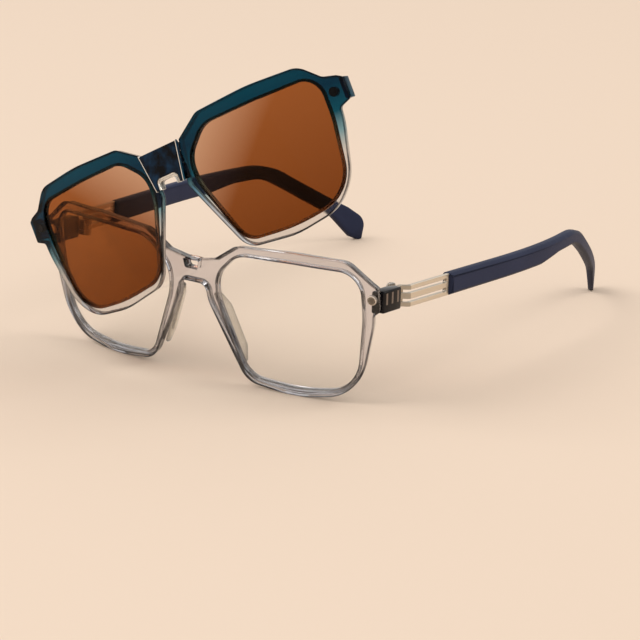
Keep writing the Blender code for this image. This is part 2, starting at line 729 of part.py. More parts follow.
def build_clip_rim():
    inside = opening(CLIP_OPENING_RISE, CLIP_OPENING_DROP)
    outline = clip_rim_outline()
    rim = slab([outline, inside], 0, CLIP_DEPTH, "clip rim")
    taper(rim, outline, CLIP_DEPTH, CLIP_TAPER)
    groove = grown(inside, GROOVE_DEPTH + SEAT_GAP)
    cut(rim, slab([groove], TINT_SETBACK - SEAT_GAP, TINT_SETBACK + TINT_THICKNESS + SEAT_GAP))
    cut(rim, cylinder(MAGNET_DIAMETER / 2 + SEAT_GAP, (MAGNET_PLACE, -OVERRUN, END_MIDDLE),
                      (MAGNET_PLACE, CLIP_DEPTH + OVERRUN, END_MIDDLE)))
    lip_low = END_MIDDLE - 0.45 * END_HEIGHT
    lip_high = END_MIDDLE + 0.45 * END_HEIGHT
    join(rim, box((TAB_REACH - LIP_THICKNESS, CLIP_DEPTH / 2, lip_low),
                  (TAB_REACH - WELD, CLIP_DEPTH + LIP_DEPTH, lip_high)))
    web = box((PIN_OFFSET, CLIP_PLATE_BACK + CLIP_JOINT_GAP, KNUCKLE_FOOT),
              (CLIP_BRIDGE_HALF_TOP + 1.5 * CLIP_JOINT_GAP, CLIP_DEPTH - WELD, KNUCKLE_HEAD))
    clear = KNUCKLE_RADIUS + CLIP_JOINT_GAP
    cut(rim, clip_band(CLIP_BRIDGE_FOOT - OVERRUN, CLIP_BRIDGE_TOP + OVERRUN, clear))
    join(rim, web, clip_band(KNUCKLE_FOOT, KNUCKLE_HEAD, KNUCKLE_RADIUS))
    cut(rim, clip_band(KNUCKLE_FOOT - OVERRUN, KNUCKLE_HEAD + OVERRUN, PIN_RADIUS + PIN_CLEARANCE))
    return mapped(rim, clip_flat_to_world)


def build_tinted_lens():
    outline = grown(opening(CLIP_OPENING_RISE, CLIP_OPENING_DROP), GROOVE_DEPTH)
    lens = slab([outline], TINT_SETBACK, TINT_SETBACK + TINT_THICKNESS, "tint")
    return mapped(lens, clip_flat_to_world)


def build_clip_magnet():
    back = CLIP_DEPTH - SEAT_GAP
    magnet = cylinder(MAGNET_DIAMETER / 2, (MAGNET_PLACE, back - CLIP_MAGNET_THICKNESS, END_MIDDLE),
                      (MAGNET_PLACE, back, END_MIDDLE), "magnet")
    return mapped(magnet, clip_flat_to_world, sliced=False)


def build_clip_bridge():
    """The plate between the rims, with an ear above and below each rim's knuckle."""
    bridge = slab([clip_bridge_outline()], -CLIP_BRIDGE_PROUD, CLIP_PLATE_BACK, "clip bridge")
    for sign in (1, -1):
        tools = [clip_band(HINGE_FOOT, KNUCKLE_FOOT - KNUCKLE_GAP, KNUCKLE_RADIUS),
                 clip_band(KNUCKLE_HEAD + KNUCKLE_GAP, HINGE_HEAD, KNUCKLE_RADIUS)]
        room = clip_band(KNUCKLE_FOOT - KNUCKLE_GAP, KNUCKLE_HEAD + KNUCKLE_GAP,
                         KNUCKLE_RADIUS + KNUCKLE_GAP)
        bore = clip_band(HINGE_FOOT + PIN_FLOOR, HINGE_HEAD + OVERRUN, PIN_RADIUS + PIN_CLEARANCE)
        for tool in tools + [room, bore]:
            if sign < 0:
                reflect(tool)
        join(bridge, *tools)
        cut(bridge, room, bore)
    return mapped(bridge, clip_flat_to_world, sliced=False)


def build_clip_pin():
    pin = clip_band(HINGE_FOOT + PIN_FLOOR + PIN_CLEARANCE, HINGE_HEAD + PIN_CLEARANCE, PIN_RADIUS)
    return mapped(pin, clip_flat_to_world, sliced=False)


def clip_mirrored(build, name, colour, parents):
    """Clip pieces are mirrored across the clip's own middle plane, before it is turned."""
    for side, sign in sides():
        piece = build()
        if sign < 0:
            piece.data.transform(clip_place.inverted())
            reflect(piece)
            piece.data.transform(clip_place)
        add_piece(piece, f"{name}_{side}", colour, parents[side])


def clear_scene():
    for thing in list(bpy.data.objects):
        bpy.data.objects.remove(thing)


def centre_on_base(things):
    """Moves the whole object so that its origin is the middle of its box's floor."""
    bpy.context.view_layer.update()
    corners = [thing.matrix_world @ v.co for thing in things if thing.type == "MESH"
               for v in thing.data.vertices]
    low = Vector([min(c[i] for c in corners) for i in range(3)])
    high = Vector([max(c[i] for c in corners) for i in range(3)])
    shift = Vector((-(low.x + high.x) / 2, -(low.y + high.y) / 2, -low.z))
    for thing in things:
        if thing.parent is None:
            thing.location += shift
    bpy.context.view_layer.update()
    return shift


# Sizes and places that follow from the driving sizes
END_REACH = NOSE_GAP / 2 + OPENING_WIDTH + RIM_TEMPLE_SIDE + END_OVERHANG
TAB_REACH = END_REACH + TAB_OVERHANG
MAGNET_PLACE = END_REACH - MAGNET_INSET
END_MIDDLE = OPENING_HEIGHT / 2 - END_DROP
BRIDGE_TOP = OPENING_HEIGHT / 2 - BRIDGE_DROP
BRIDGE_UNDERSIDE = BRIDGE_TOP - BRIDGE_HEIGHT
CLIP_BRIDGE_TOP = OPENING_HEIGHT / 2 - CLIP_BRIDGE_DROP
CLIP_BRIDGE_FOOT = CLIP_BRIDGE_TOP - CLIP_BRIDGE_HEIGHT
HINGE_FOOT = CLIP_BRIDGE_FOOT + HINGE_FOOT_RISE
END_TOP = END_MIDDLE + END_HEIGHT / 2
END_LOW = END_MIDDLE - END_HEIGHT / 2
TIP_HEIGHT = PLATE_HEIGHT + 2 * TIP_OVERLAP
HINGE_SETBACK = BARREL_RADIUS + HINGE_SETBACK_GAP
LEAF_PLACE = HINGE_INSET - BLOCK_THICKNESS + LEAF_INSET
PLATE_PLACE = LEAF_PLACE + LEAF_THICKNESS + SEAT_GAP
BARREL_TOP = MIDDLE_BARREL / 2 + BARREL_GAP + SIDE_BARREL
KNUCKLE_FOOT = HINGE_FOOT + EAR_HEIGHT + KNUCKLE_GAP
KNUCKLE_HEAD = KNUCKLE_FOOT + KNUCKLE_HEIGHT
HINGE_HEAD = KNUCKLE_HEAD + KNUCKLE_GAP + EAR_HEIGHT
NOSE_SIDE_START = NOSE_GAP / 2 - RIM_NOSE_SIDE
NOSE_SIDE_TOP = 0.095 * OPENING_HEIGHT
NOSE_SIDE_RUN = RIM_NOSE_SIDE + 0.130 * OPENING_WIDTH
NOSE_SIDE_FALL = NOSE_SIDE_TOP + OPENING_HEIGHT / 2 + RIM_BOTTOM

clear_scene()
parts = bpy.data.collections.new("clip_on_eyeglasses")
bpy.context.scene.collection.children.link(parts)

lean = Matrix.Rotation(FRONT_LEAN, 4, "X")
lowest = min((lean @ bent(Vector((p.x, 0, p.y)))).z for p in front_outline())
front_place = Matrix.Translation((0, 0, -lowest - FLOOR_FLAT_DEPTH)) @ lean
clip_turned = (Matrix.Rotation(CLIP_TURN, 4, "Z") @ Matrix.Rotation(CLIP_LEAN, 4, "X")
               @ Matrix.Rotation(CLIP_ROLL, 4, "Y"))
clip_place = Matrix.Translation((CLIP_ACROSS, -CLIP_FORWARD, CLIP_RISE - lowest)) @ clip_turned
end_face = front_flat_to_world(Vector((END_REACH, 0, END_MIDDLE)))
along_temple = Matrix.Rotation(-TEMPLE_DROP, 4, "X")
hinge_point = end_face + along_temple @ Vector((-HINGE_INSET, BLOCK_LENGTH + HINGE_SETBACK, -HINGE_DROP))
temple_place = Matrix.Translation(hinge_point) @ along_temple

both_sides_of_front = [
    (build_demo_lens, "demo_lens", "clear_lens"), (build_nose_pad, "nose_pad", "silicone"),
    (build_frame_magnet, "frame_magnet", "magnet"), (build_front_leaf, "front_leaf", "hinge_metal"),
    (build_hinge_screw, "hinge_screw", "hinge_metal"),
]
add_piece(build_front_frame(), "front_frame", "crystal")
for build, name, colour in both_sides_of_front:
    both_sides(build, name, colour)

mirror = Matrix.Diagonal((-1, 1, 1, 1))
temple_axes = {}
for side, sign in sides():
    spot = Vector((sign * hinge_point.x, hinge_point.y, hinge_point.z))
    temple_axes[side] = add_axis(f"temple_axis_{side}", Matrix.Translation(spot) @ along_temple)
both_temples(build_temple_leaf, "temple_leaf", "hinge_metal")
both_temples(build_temple_plate, "temple_plate", "champagne")
both_temples(build_temple_tip, "temple_tip", "navy")

clip_axis = add_axis("clip_axis", clip_place)
fold_axes = {}
for side, sign in sides():
    spot = clip_flat_to_world(Vector((sign * PIN_OFFSET, PIN_DEPTH, KNUCKLE_FOOT)))
    fold_axes[side] = add_axis(f"fold_axis_{side}", Matrix.Translation(spot) @ clip_turned, clip_axis)
add_piece(build_clip_bridge(), "clip_bridge", "dark_blue", clip_axis)
clip_mirrored(build_clip_pin, "clip_pin", "hinge_metal", {"left": clip_axis, "right": clip_axis})
clip_mirrored(build_clip_rim, "clip_rim", "blue_fade", fold_axes)
clip_mirrored(build_tinted_lens, "tinted_lens", "tint", fold_axes)
clip_mirrored(build_clip_magnet, "clip_magnet", "magnet", fold_axes)

base_shift = centre_on_base(list(parts.objects))
print("base shift mm", [round(value / MM, 3) for value in base_shift])
for axis in list(temple_axes.values()) + [clip_axis] + list(fold_axes.values()):
    print(axis.name, [round(value / MM, 3) for value in axis.matrix_world.translation])
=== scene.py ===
# %% [markdown]
# # Eyeglasses with a magnetic clip-on
# The glasses have a clear grey front, metal temples with two slots, and navy tips. A tinted
# clip-on is lifted off in front of them. The measured frame is loaded first, because every
# joint and every place comes from it. Pieces that only need a finish keep their CAD shape, and
# pieces that the eye follows, such as the rims and the tips, are made again with finer curves.

import math

import bmesh
import bpy
from mathutils import Matrix, Vector


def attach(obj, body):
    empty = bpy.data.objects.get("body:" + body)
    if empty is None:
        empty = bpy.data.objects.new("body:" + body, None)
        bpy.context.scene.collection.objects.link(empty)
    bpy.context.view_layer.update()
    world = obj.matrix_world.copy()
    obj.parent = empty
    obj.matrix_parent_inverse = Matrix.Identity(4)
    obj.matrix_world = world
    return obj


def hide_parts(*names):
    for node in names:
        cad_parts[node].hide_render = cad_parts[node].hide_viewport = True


MM = 0.001
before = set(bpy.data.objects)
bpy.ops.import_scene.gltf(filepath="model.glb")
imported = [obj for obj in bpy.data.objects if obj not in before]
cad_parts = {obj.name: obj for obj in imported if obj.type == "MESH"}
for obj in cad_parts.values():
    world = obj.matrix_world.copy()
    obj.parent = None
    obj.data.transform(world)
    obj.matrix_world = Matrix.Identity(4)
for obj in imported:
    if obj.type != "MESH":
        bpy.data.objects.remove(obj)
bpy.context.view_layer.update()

# %% [markdown]
# ## Sizes
# The outlines are drawn flat, as on a maker's sheet, in millimetres across and up from the middle
# of the front. The numbers are those of the CAD part, so each fine piece lies in the room of the
# plain solid that it stands for.

# %% Sizes of the front and the clip-on
OPENING_WIDTH, OPENING_HEIGHT, NOSE_GAP = 51.4, 41.4, 19.4
RIM_TOP, RIM_TEMPLE, RIM_NOSE = 3.7, 3.8, 4.3
FRONT_RIM_BOTTOM, CLIP_RIM_BOTTOM = 1.9, 1.8
END_REACH, TAB_REACH = 67.2, 69.3
END_TOP, END_LOW, END_HEIGHT, END_MIDDLE = 15.9, 8.5, 7.4, 12.2
BRIDGE_TOP, BRIDGE_SAG, BRIDGE_UNDERSIDE = 16.6, 1.7, 8.8
WINDOW_HALF, WINDOW_HEIGHT, WINDOW_BAR = 3.0, 2.9, 0.4
CLIP_BRIDGE_TOP, CLIP_BRIDGE_FOOT, CLIP_JOINT_GAP = 18.1, 5.9, 0.3
CLIP_BRIDGE_HALF_TOP, CLIP_BRIDGE_HALF_FOOT = 7.9, 5.6
FACE_RADIUS = 265.0
FRONT_DEPTH, FRONT_TAPER = 3.3, 0.65
CLIP_DEPTH, CLIP_TAPER = 2.4, 0.4
CLIP_OPENING_RISE, CLIP_OPENING_DROP = 0.9, 1.4
LENS_SETBACK, TINT_SETBACK, GROOVE_DEPTH = 0.9, 0.6, 0.9
MAGNET_PLACE, MAGNET_RADIUS = 64.8, 1.5

# %% Where the front, the clip-on and the temples stand
FRONT_LEAN = math.radians(5.1)
CLIP_TURN, CLIP_LEAN, CLIP_ROLL = math.radians(0.9), math.radians(-3.6), math.radians(-28.4)
TEMPLE_DROP = math.radians(2.7)
SPLAY = {"left": math.radians(1.2), "right": math.radians(4.0)}
HINGE = {"left": Vector((62.5171, -49.6232, 33.5111)), "right": Vector((-59.6471, -49.6232, 33.5111))}
front_place = Matrix.Translation((1.435, -70.4179, 22.2409)) @ Matrix.Rotation(FRONT_LEAN, 4, "X")
clip_place = (Matrix.Translation((6.885, -83.3179, 59.9409)) @ Matrix.Rotation(CLIP_TURN, 4, "Z")
              @ Matrix.Rotation(CLIP_LEAN, 4, "X") @ Matrix.Rotation(CLIP_ROLL, 4, "Y"))
SIGN = {"left": 1, "right": -1}


def temple_place(side, splay):
    """From hinge coordinates (outwards, back, up) to the model, for one side and its opening angle."""
    mirror = Matrix.Diagonal((SIGN[side], 1, 1, 1))
    turn = Matrix.Rotation(-TEMPLE_DROP, 4, "X") @ mirror @ Matrix.Rotation(-splay, 4, "Z")
    return Matrix.Translation(HINGE[side]) @ turn


# %% [markdown]
# ## Outlines
# An outline is a list of corners with a radius each. Rounding them in code, and not with a bevel,
# gives every ring of a loft the same count of points, so that rings can be joined one to one.

# %% Rounded outlines
ARC_STEP = math.radians(5)
LEAST_STEPS = 3
LONGEST_RUN = 0.49


def rounded(corners):
    """Points of a closed outline, anticlockwise, whose corners (x, y, radius) are rounded."""
    points = []
    for index, (x, y, radius) in enumerate(corners):
        here = Vector((x, y))
        before = Vector(corners[index - 1][:2]) - here
        after = Vector(corners[(index + 1) % len(corners)][:2]) - here
        half = before.angle(after) / 2
        run = min(radius / math.tan(half), before.length * LONGEST_RUN, after.length * LONGEST_RUN)
        turn = math.pi - 2 * half
        steps = max(LEAST_STEPS, round(turn / ARC_STEP))
        centre = here + (before.normalized() + after.normalized()).normalized() * (run / math.cos(half))
        arm = here + before.normalized() * run - centre
        sign = 1 if before.cross(after) < 0 else -1
        for step in range(steps + 1):
            points.append(centre + Matrix.Rotation(sign * turn * step / steps, 2) @ arm)
    area = sum(points[i - 1].cross(points[i]) for i in range(len(points)))
    return points if area > 0 else points[::-1]


def grown(points, amount):
    """The outline moved outwards by amount."""
    result = []
    for index, point in enumerate(points):
        along = (points[(index + 1) % len(points)] - points[index - 1]).normalized()
        result.append(point + Vector((along.y, -along.x)) * amount)
    return result


def flipped(points):
    """The outline on the other side of the nose."""
    return [Vector((-p.x, p.y)) for p in reversed(points)]


# %% Lens openings and rims
OPENING_SHARES = [
    (0.165, 0.995, 0.24), (0.000, 0.805, 0.28), (-0.005, 0.620, 0.45), (0.183, 0.040, 0.19),
    (0.540, 0.000, 1.60), (0.825, 0.042, 0.34), (0.955, 0.190, 0.34), (1.005, 0.640, 0.80),
    (1.003, 0.985, 0.27), (0.550, 1.000, 2.40),
]


def opening(rise=0.0, drop=0.0):
    """The wearer's left lens opening; rise lifts its lower edge and drop lowers its upper one."""
    low, height = rise - OPENING_HEIGHT / 2, OPENING_HEIGHT - rise - drop
    return rounded([(NOSE_GAP / 2 + x * OPENING_WIDTH, low + y * height, r * OPENING_HEIGHT)
                    for x, y, r in OPENING_SHARES])


def rim_corners(bottom_rim, end_corners):
    """A rim's outer corners, from the brow round to the nose, as shares of the sizes nearby."""
    nose, big = NOSE_GAP / 2, OPENING_HEIGHT
    edge = nose + OPENING_WIDTH + RIM_TEMPLE
    top, low = big / 2 + RIM_TOP, -big / 2 - bottom_rim
    return [
        (nose + 0.155 * OPENING_WIDTH, top - 0.22 * RIM_TOP, 0.12 * big),
        (nose + 0.550 * OPENING_WIDTH, top + 0.03 * RIM_TOP, 2.00 * big),
        *end_corners,
        (edge + 0.10 * RIM_TEMPLE, END_LOW - 0.20 * END_HEIGHT, 0.03 * big),
        (edge, 0.07 * big, 0.80 * big),
        (nose + 0.990 * OPENING_WIDTH, -0.325 * big, 0.40 * big),
        (nose + 0.842 * OPENING_WIDTH, low + 0.82 * bottom_rim, 0.40 * big),
        (nose + 0.530 * OPENING_WIDTH, low - 0.32 * bottom_rim, 0.80 * big),
        (nose + 0.176 * OPENING_WIDTH, low + 0.82 * bottom_rim, 0.20 * big),
        (nose - 0.95 * RIM_NOSE, 0.095 * big, 0.30 * big),
    ]


def front_outline():
    """The whole front, from one end piece over the bridge to the other."""
    corner, nose = 0.02 * OPENING_HEIGHT, NOSE_GAP / 2
    end = [(nose + 0.925 * OPENING_WIDTH, OPENING_HEIGHT / 2 + 0.85 * RIM_TOP, 8 * corner),
           (END_REACH - 0.30 * END_HEIGHT, END_TOP + 0.22 * END_HEIGHT, corner),
           (END_REACH, END_TOP, corner), (END_REACH, END_LOW, corner)]
    half = [(nose - 0.04 * RIM_NOSE, BRIDGE_TOP + BRIDGE_SAG, 1.2), *rim_corners(FRONT_RIM_BOTTOM, end),
            (0.53 * nose, BRIDGE_UNDERSIDE, 3.3)]
    return rounded([(0, BRIDGE_TOP, 8.3)] + half + [(-x, y, r) for x, y, r in reversed(half)])


def bridge_window():
    """The small cup-shaped window under the bar of the bridge."""
    top = BRIDGE_TOP - WINDOW_BAR
    side = [(WINDOW_HALF, top, 0.35), (0.8 * WINDOW_HALF, top - WINDOW_HEIGHT, 0.87)]
    return rounded(side + [(-x, y, r) for x, y, r in reversed(side)])


def clip_rim_outline():
    """The wearer's left clip-on rim, cut off along the slanted gap at the middle."""
    corner, nose = 0.02 * OPENING_HEIGHT, NOSE_GAP / 2
    end = [(nose + 0.910 * OPENING_WIDTH, OPENING_HEIGHT / 2 + 0.74 * RIM_TOP, 10 * corner),
           (TAB_REACH - 0.85 * END_HEIGHT, END_TOP + 0.24 * END_HEIGHT, 4 * corner),
           (TAB_REACH - 0.25 * END_HEIGHT, END_TOP + 0.08 * END_HEIGHT, corner),
           (TAB_REACH, END_TOP - 0.06 * END_HEIGHT, corner), (TAB_REACH, END_LOW, corner)]
    return rounded([(CLIP_BRIDGE_HALF_TOP + CLIP_JOINT_GAP, CLIP_BRIDGE_TOP, 0.6),
                    *rim_corners(CLIP_RIM_BOTTOM, end),
                    (CLIP_BRIDGE_HALF_FOOT + CLIP_JOINT_GAP, CLIP_BRIDGE_FOOT, 0.6)])


print("front outline:", len(front_outline()), "points; clip rim:", len(clip_rim_outline()), "points")

# %% [markdown]
# ## Lofted plates
# Polished acetate has soft edges, and the shade they catch is painted into the colour as thin
# dark lines. A plate is lofted from rings: each outline is repeated at several depths and insets,
# and every ring carries a number, edge, which says how dark the painted shade is there. The two
# flat faces are filled last.

# %% Loft a plate from its outlines
def plate_rings(depth, round_edge, draw_in, line):
    """Rings (inset, depth, edge) from the front face, over the wall, to the back face; edge is how dark the
    painted shade is.
    """
    r, k = round_edge, draw_in / depth
    back = draw_in + r
    return [(r + line, 0, 0), (r + 0.35 * line, 0, 0.25), (r, 0, 0.9), (0.3 * r, 0.3 * r, 0.55), (0, r, 0.8),
            (0.22 * draw_in, 0.22 * depth, 0.35), (0.75 * draw_in, 0.75 * depth, 0.3),
            (k * (depth - r), depth - r, 0.85), (draw_in + 0.3 * r, depth - 0.3 * r, 0.55),
            (back, depth, 0.9), (back + 0.35 * line, depth, 0.25), (back + line, depth, 0)]


def wall_shade(normal):
    """Painted shade for a wall by the way it faces: diagonal and lower walls dark, upright and upper ones
    pale.
    """
    plain, lit, slanting, shaded = 0.50, 0.35, 0.75, 0.5
    slope, below = abs(2 * normal.x * normal.y), max(0, -normal.y)
    return min(1.0, plain - lit * max(0, normal.y) ** 2 + slanting * slope + shaded * below)


def loft(outline, holes, rings, start=0.0):
    """A closed flat plate, drawn as (across, depth, up); a hole is a pair of outline and rings."""
    shape = bmesh.new()
    layer = shape.verts.layers.float.new("edge")
    rims = {0: [], -1: []}
    for points, profile, way in [(outline, rings, -1)] + [(*hole, 1) for hole in holes]:
        normals = [b - a for a, b in zip(points, grown(points, 1))]
        loops = []
        for inset, depth, dark in profile:
            loop = []
            for point, normal in zip(grown(points, way * inset), normals):
                vertex = shape.verts.new((point.x, start + depth, point.y))
                # Painted shade: the ring's number times the shade painted for the way this wall faces.
                vertex[layer] = dark * wall_shade(-way * normal)
                loop.append(vertex)
            loops.append(loop)
        for near, far in zip(loops, loops[1:]):
            for i in range(len(near)):
                shape.faces.new((near[i - 1], near[i], far[i], far[i - 1]))
        for end in rims:
            rims[end] += [shape.edges.get((loops[end][i - 1], loops[end][i])) for i in range(len(points))]
    for edges in rims.values():
        bmesh.ops.triangle_fill(shape, use_beauty=True, edges=edges)
    return shape


STRIP_WIDTH = 2.5
ON_PLANE = 0.0005
SHARP_ANGLE = math.radians(42)


def sliced(shape, step=STRIP_WIDTH, low=None, high=None):
    """Cuts a drawn plate into strips across, so that it can bend."""
    low = min(v.co.x for v in shape.verts) if low is None else low
    high = max(v.co.x for v in shape.verts) if high is None else high
    for index in range(math.ceil(low / step), math.floor(high / step) + 1):
        everything = shape.verts[:] + shape.edges[:] + shape.faces[:]
        bmesh.ops.bisect_plane(shape, geom=everything, dist=ON_PLANE, plane_co=(index * step, 0, 0),
                               plane_no=(1, 0, 0))
    return shape


def outward(shape):
    """Turns every face of a closed shape outwards."""
    bmesh.ops.recalc_face_normals(shape, faces=shape.faces)
    if shape.calc_volume(signed=True) < 0:
        bmesh.ops.reverse_faces(shape, faces=shape.faces)


def placed(shape, name, place=None, mirrored=False):
    """Turns a drawn shape into a finished object: mirrored, put in place and in metres."""
    for vertex in shape.verts:
        if mirrored:
            vertex.co.x = -vertex.co.x
        point = place(vertex.co) if place else vertex.co
        vertex.co = point * MM
    outward(shape)
    mesh = bpy.data.meshes.new(name)
    shape.to_mesh(mesh)
    shape.free()
    mesh.shade_smooth()
    mesh.set_sharp_from_angle(angle=SHARP_ANGLE)
    piece = bpy.data.objects.new(name, mesh)
    bpy.context.scene.collection.objects.link(piece)
    return piece


# %% [markdown]
# ## A shader kit
# Shader maths reads best as plain arithmetic. The small class below wraps a socket, so that
# `0.5 + edge * 0.2` adds the Math nodes by itself. Colours go through Mix nodes instead, since a
# Math node would turn them grey.

# %% Shader sockets with operators
class Wire:
    """A value on its way through a material's nodes."""

    def __init__(self, paint, socket):
        self.paint, self.socket = paint, socket

    def maths(self, operation, other):
        return self.paint.node("ShaderNodeMath", {"operation": operation}, {0: self, 1: other})

    def __add__(self, other):
        return self.maths("ADD", other)

    __radd__ = __add__

    def __mul__(self, other):
        return self.maths("MULTIPLY", other)

    __rmul__ = __mul__

    def __sub__(self, other):
        return self.maths("SUBTRACT", other)

    def __pow__(self, other):
        return self.maths("POWER", other)

    def clamped(self):
        return self.maths("MINIMUM", 1.0).maths("MAXIMUM", 0.0)


class Paint:
    """One material and the few kinds of node that this object's finishes need."""

    def __init__(self, name, **constants):
        self.material = bpy.data.materials.new(name)
        self.material.use_nodes = True
        self.tree = self.material.node_tree
        self.shader = self.tree.nodes["Principled BSDF"]
        for socket, value in constants.items():
            self.shader.inputs[socket.replace("_", " ")].default_value = value

    def node(self, kind, settings=None, inputs=None, output=0):
        made = self.tree.nodes.new(kind)
        for key, value in (settings or {}).items():
            if key == "stops":
                ramp = made.color_ramp
                while len(ramp.elements) < len(value):
                    ramp.elements.new(0.5)
                for element, (position, colour) in zip(ramp.elements, value):
                    element.position = position
                    element.color = (*colour, 1) if len(colour) == 3 else colour
            else:
                setattr(made, key, value)
        for key, value in (inputs or {}).items():
            if isinstance(value, Wire):
                self.tree.links.new(value.socket, made.inputs[key])
            else:
                made.inputs[key].default_value = value
        return Wire(self, made.outputs[output])

    def attribute(self, name):
        return self.node("ShaderNodeAttribute", {"attribute_name": name}, output="Fac")

    def place(self, scale=(1, 1, 1)):
        spot = self.node("ShaderNodeTexCoord", output="Object")
        return self.node("ShaderNodeMapping", {}, {"Vector": spot, "Scale": scale})

    def noise(self, scale, detail=2.0, vector=None):
        inputs = {"Scale": scale, "Detail": detail, "Vector": vector or self.place()}
        return self.node("ShaderNodeTexNoise", {}, inputs)

    def blend(self, share, low, high):
        """Mix two colours by a share; a colour is a wire or three numbers."""
        pad = [c if isinstance(c, Wire) else (*c, 1) for c in (low, high)]
        return self.node("ShaderNodeMix", {"data_type": "RGBA"}, {0: share, 6: pad[0], 7: pad[1]}, output=2)

    def ramp(self, share, stops):
        return self.node("ShaderNodeValToRGB", {"stops": stops}, {0: share})

    def bump(self, height, depth, strength):
        inputs = {"Height": height, "Distance": depth * MM, "Strength": strength}
        return self.node("ShaderNodeBump", {}, inputs)

    def finish(self, **wires):
        for socket, wire in wires.items():
            self.tree.links.new(wire.socket, self.shader.inputs[socket.replace("_", " ")])
        return self.material


def srgb(red, green, blue):
    """A colour as read on a screen, 0 to 255, in the linear values that shaders use."""
    shares = [level / 255 for level in (red, green, blue)]
    return tuple(s / 12.92 if s <= 0.04045 else ((s + 0.055) / 1.055) ** 2.4 for s in shares)


def wear(piece, material, body, slot, *nodes):
    """Gives a finished piece its material and its body, and hides the nodes that it stands for."""
    piece.data.materials.clear()
    piece.data.materials.append(material)
    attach(piece, body)
    if nodes:
        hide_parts(*nodes)
    return piece


# %% [markdown]
# ## Bending round the face
# A front isn't flat: it follows a cylinder of about 265 mm, so that it sits round the face. The
# bend is a rule, so Geometry Nodes do it for every flat-drawn plate: the tree turns each point's
# distance across into an angle. The tree's inputs hold the radius and the material.

# %% A Geometry Nodes tree that bends a plate
def bend_tree():
    tree = bpy.data.node_groups.new("bend round the face", "GeometryNodeTree")
    for name, flow, kind in (("Geometry", "INPUT", "Geometry"), ("Radius", "INPUT", "Float"),
                             ("Material", "INPUT", "Material"), ("Geometry", "OUTPUT", "Geometry")):
        tree.interface.new_socket(name, in_out=flow, socket_type=f"NodeSocket{kind}")
    nodes, links = tree.nodes, tree.links
    source, drain = nodes.new("NodeGroupInput"), nodes.new("NodeGroupOutput")

    def maths(operation, first, second=None):
        step = nodes.new("ShaderNodeMath")
        step.operation = operation
        for index, value in enumerate((first, second)):
            if value is not None:
                links.new(value, step.inputs[index])
        return step.outputs[0]

    split = nodes.new("ShaderNodeSeparateXYZ")
    links.new(nodes.new("GeometryNodeInputPosition").outputs[0], split.inputs[0])
    radius = source.outputs["Radius"]
    angle = maths("DIVIDE", split.outputs["X"], radius)
    arm = maths("SUBTRACT", radius, split.outputs["Y"])
    joined = nodes.new("ShaderNodeCombineXYZ")
    links.new(maths("MULTIPLY", arm, maths("SINE", angle)), joined.inputs["X"])
    links.new(maths("SUBTRACT", radius, maths("MULTIPLY", arm, maths("COSINE", angle))), joined.inputs["Y"])
    links.new(split.outputs["Z"], joined.inputs["Z"])
    move, real, paint = (nodes.new(f"GeometryNode{kind}")
                         for kind in ("SetPosition", "RealizeInstances", "SetMaterial"))
    links.new(source.outputs["Geometry"], move.inputs["Geometry"])
    links.new(joined.outputs[0], move.inputs["Position"])
    links.new(move.outputs[0], real.inputs[0])
    links.new(real.outputs[0], paint.inputs["Geometry"])
    links.new(source.outputs["Material"], paint.inputs["Material"])
    links.new(paint.outputs[0], drain.inputs[0])
    return tree


def run_tree(piece, tree, **values):
    """Runs a tree on a piece with named inputs and keeps the result as a plain mesh."""
    modifier = piece.modifiers.new(tree.name, "NODES")
    modifier.node_group = tree
    for item in tree.interface.items_tree:
        if item.in_out == "INPUT" and item.name in values:
            modifier[item.identifier] = values[item.name]
    bpy.context.view_layer.update()
    evaluated = piece.evaluated_get(bpy.context.evaluated_depsgraph_get())
    mesh = bpy.data.meshes.new_from_object(evaluated)
    piece.modifiers.clear()
    piece.data = mesh
    return piece


BEND = bend_tree()


def in_metres(place):
    """The same place, for a mesh that is already in metres."""
    return Matrix.Translation(place.translation * MM) @ place.to_3x3().to_4x4()


def keep_above_floor(piece):
    for vertex in piece.data.vertices:
        vertex.co.z = max(vertex.co.z, 0)
    return piece


def on_face(shape, name, place, material, mirrored=False):
    """Bends a flat plate round the face and leans it to where it stands, never below the floor."""
    piece = run_tree(placed(shape, name, mirrored=mirrored), BEND, Radius=FACE_RADIUS * MM, Material=material)
    piece.data.transform(in_metres(place))
    return keep_above_floor(piece)


# %% [markdown]
# ## Clear grey plastic
# The front is clear acetate, seen against a pale floor. A true glass shader bends light in the
# plate, and its dark edge lines, painted shade from the loft's edge numbers, show through it as
# dark lines do in polished plastic. A faint cloud keeps it from looking like window glass.

# %% Crystal grey, clear lens and nose-pad plastics
GLASSY = {"Transmission_Weight": 1.0, "IOR": 1.49}


def crystal_grey():
    paint = Paint("crystal_grey", **GLASSY)
    edge = (paint.attribute("edge") * (0.85 + 0.6 * paint.noise(180, 2))).clamped()
    cloud = paint.noise(35, 3)
    face = paint.blend(cloud, (0.69, 0.68, 0.72), (0.78, 0.77, 0.81))
    # Near-black painted shade along the edges and walls.
    colour = paint.blend((edge * 1.15).clamped() ** 0.7, face, (0.003, 0.003, 0.006))
    rough = 0.03 + 0.05 * paint.noise(600, 3)
    return paint.finish(Base_Color=colour, Roughness=rough)


def clear_lens():
    paint = Paint("clear_lens", Transmission_Weight=1.0, IOR=1.45, Coat_Weight=0.3)
    edge = paint.attribute("edge")
    # The ground edge is painted grey: painted shade.
    colour = paint.blend(edge, (0.975, 0.98, 0.975), (0.50, 0.50, 0.48))
    return paint.finish(Base_Color=colour, Roughness=0.015 + 0.01 * paint.noise(90))


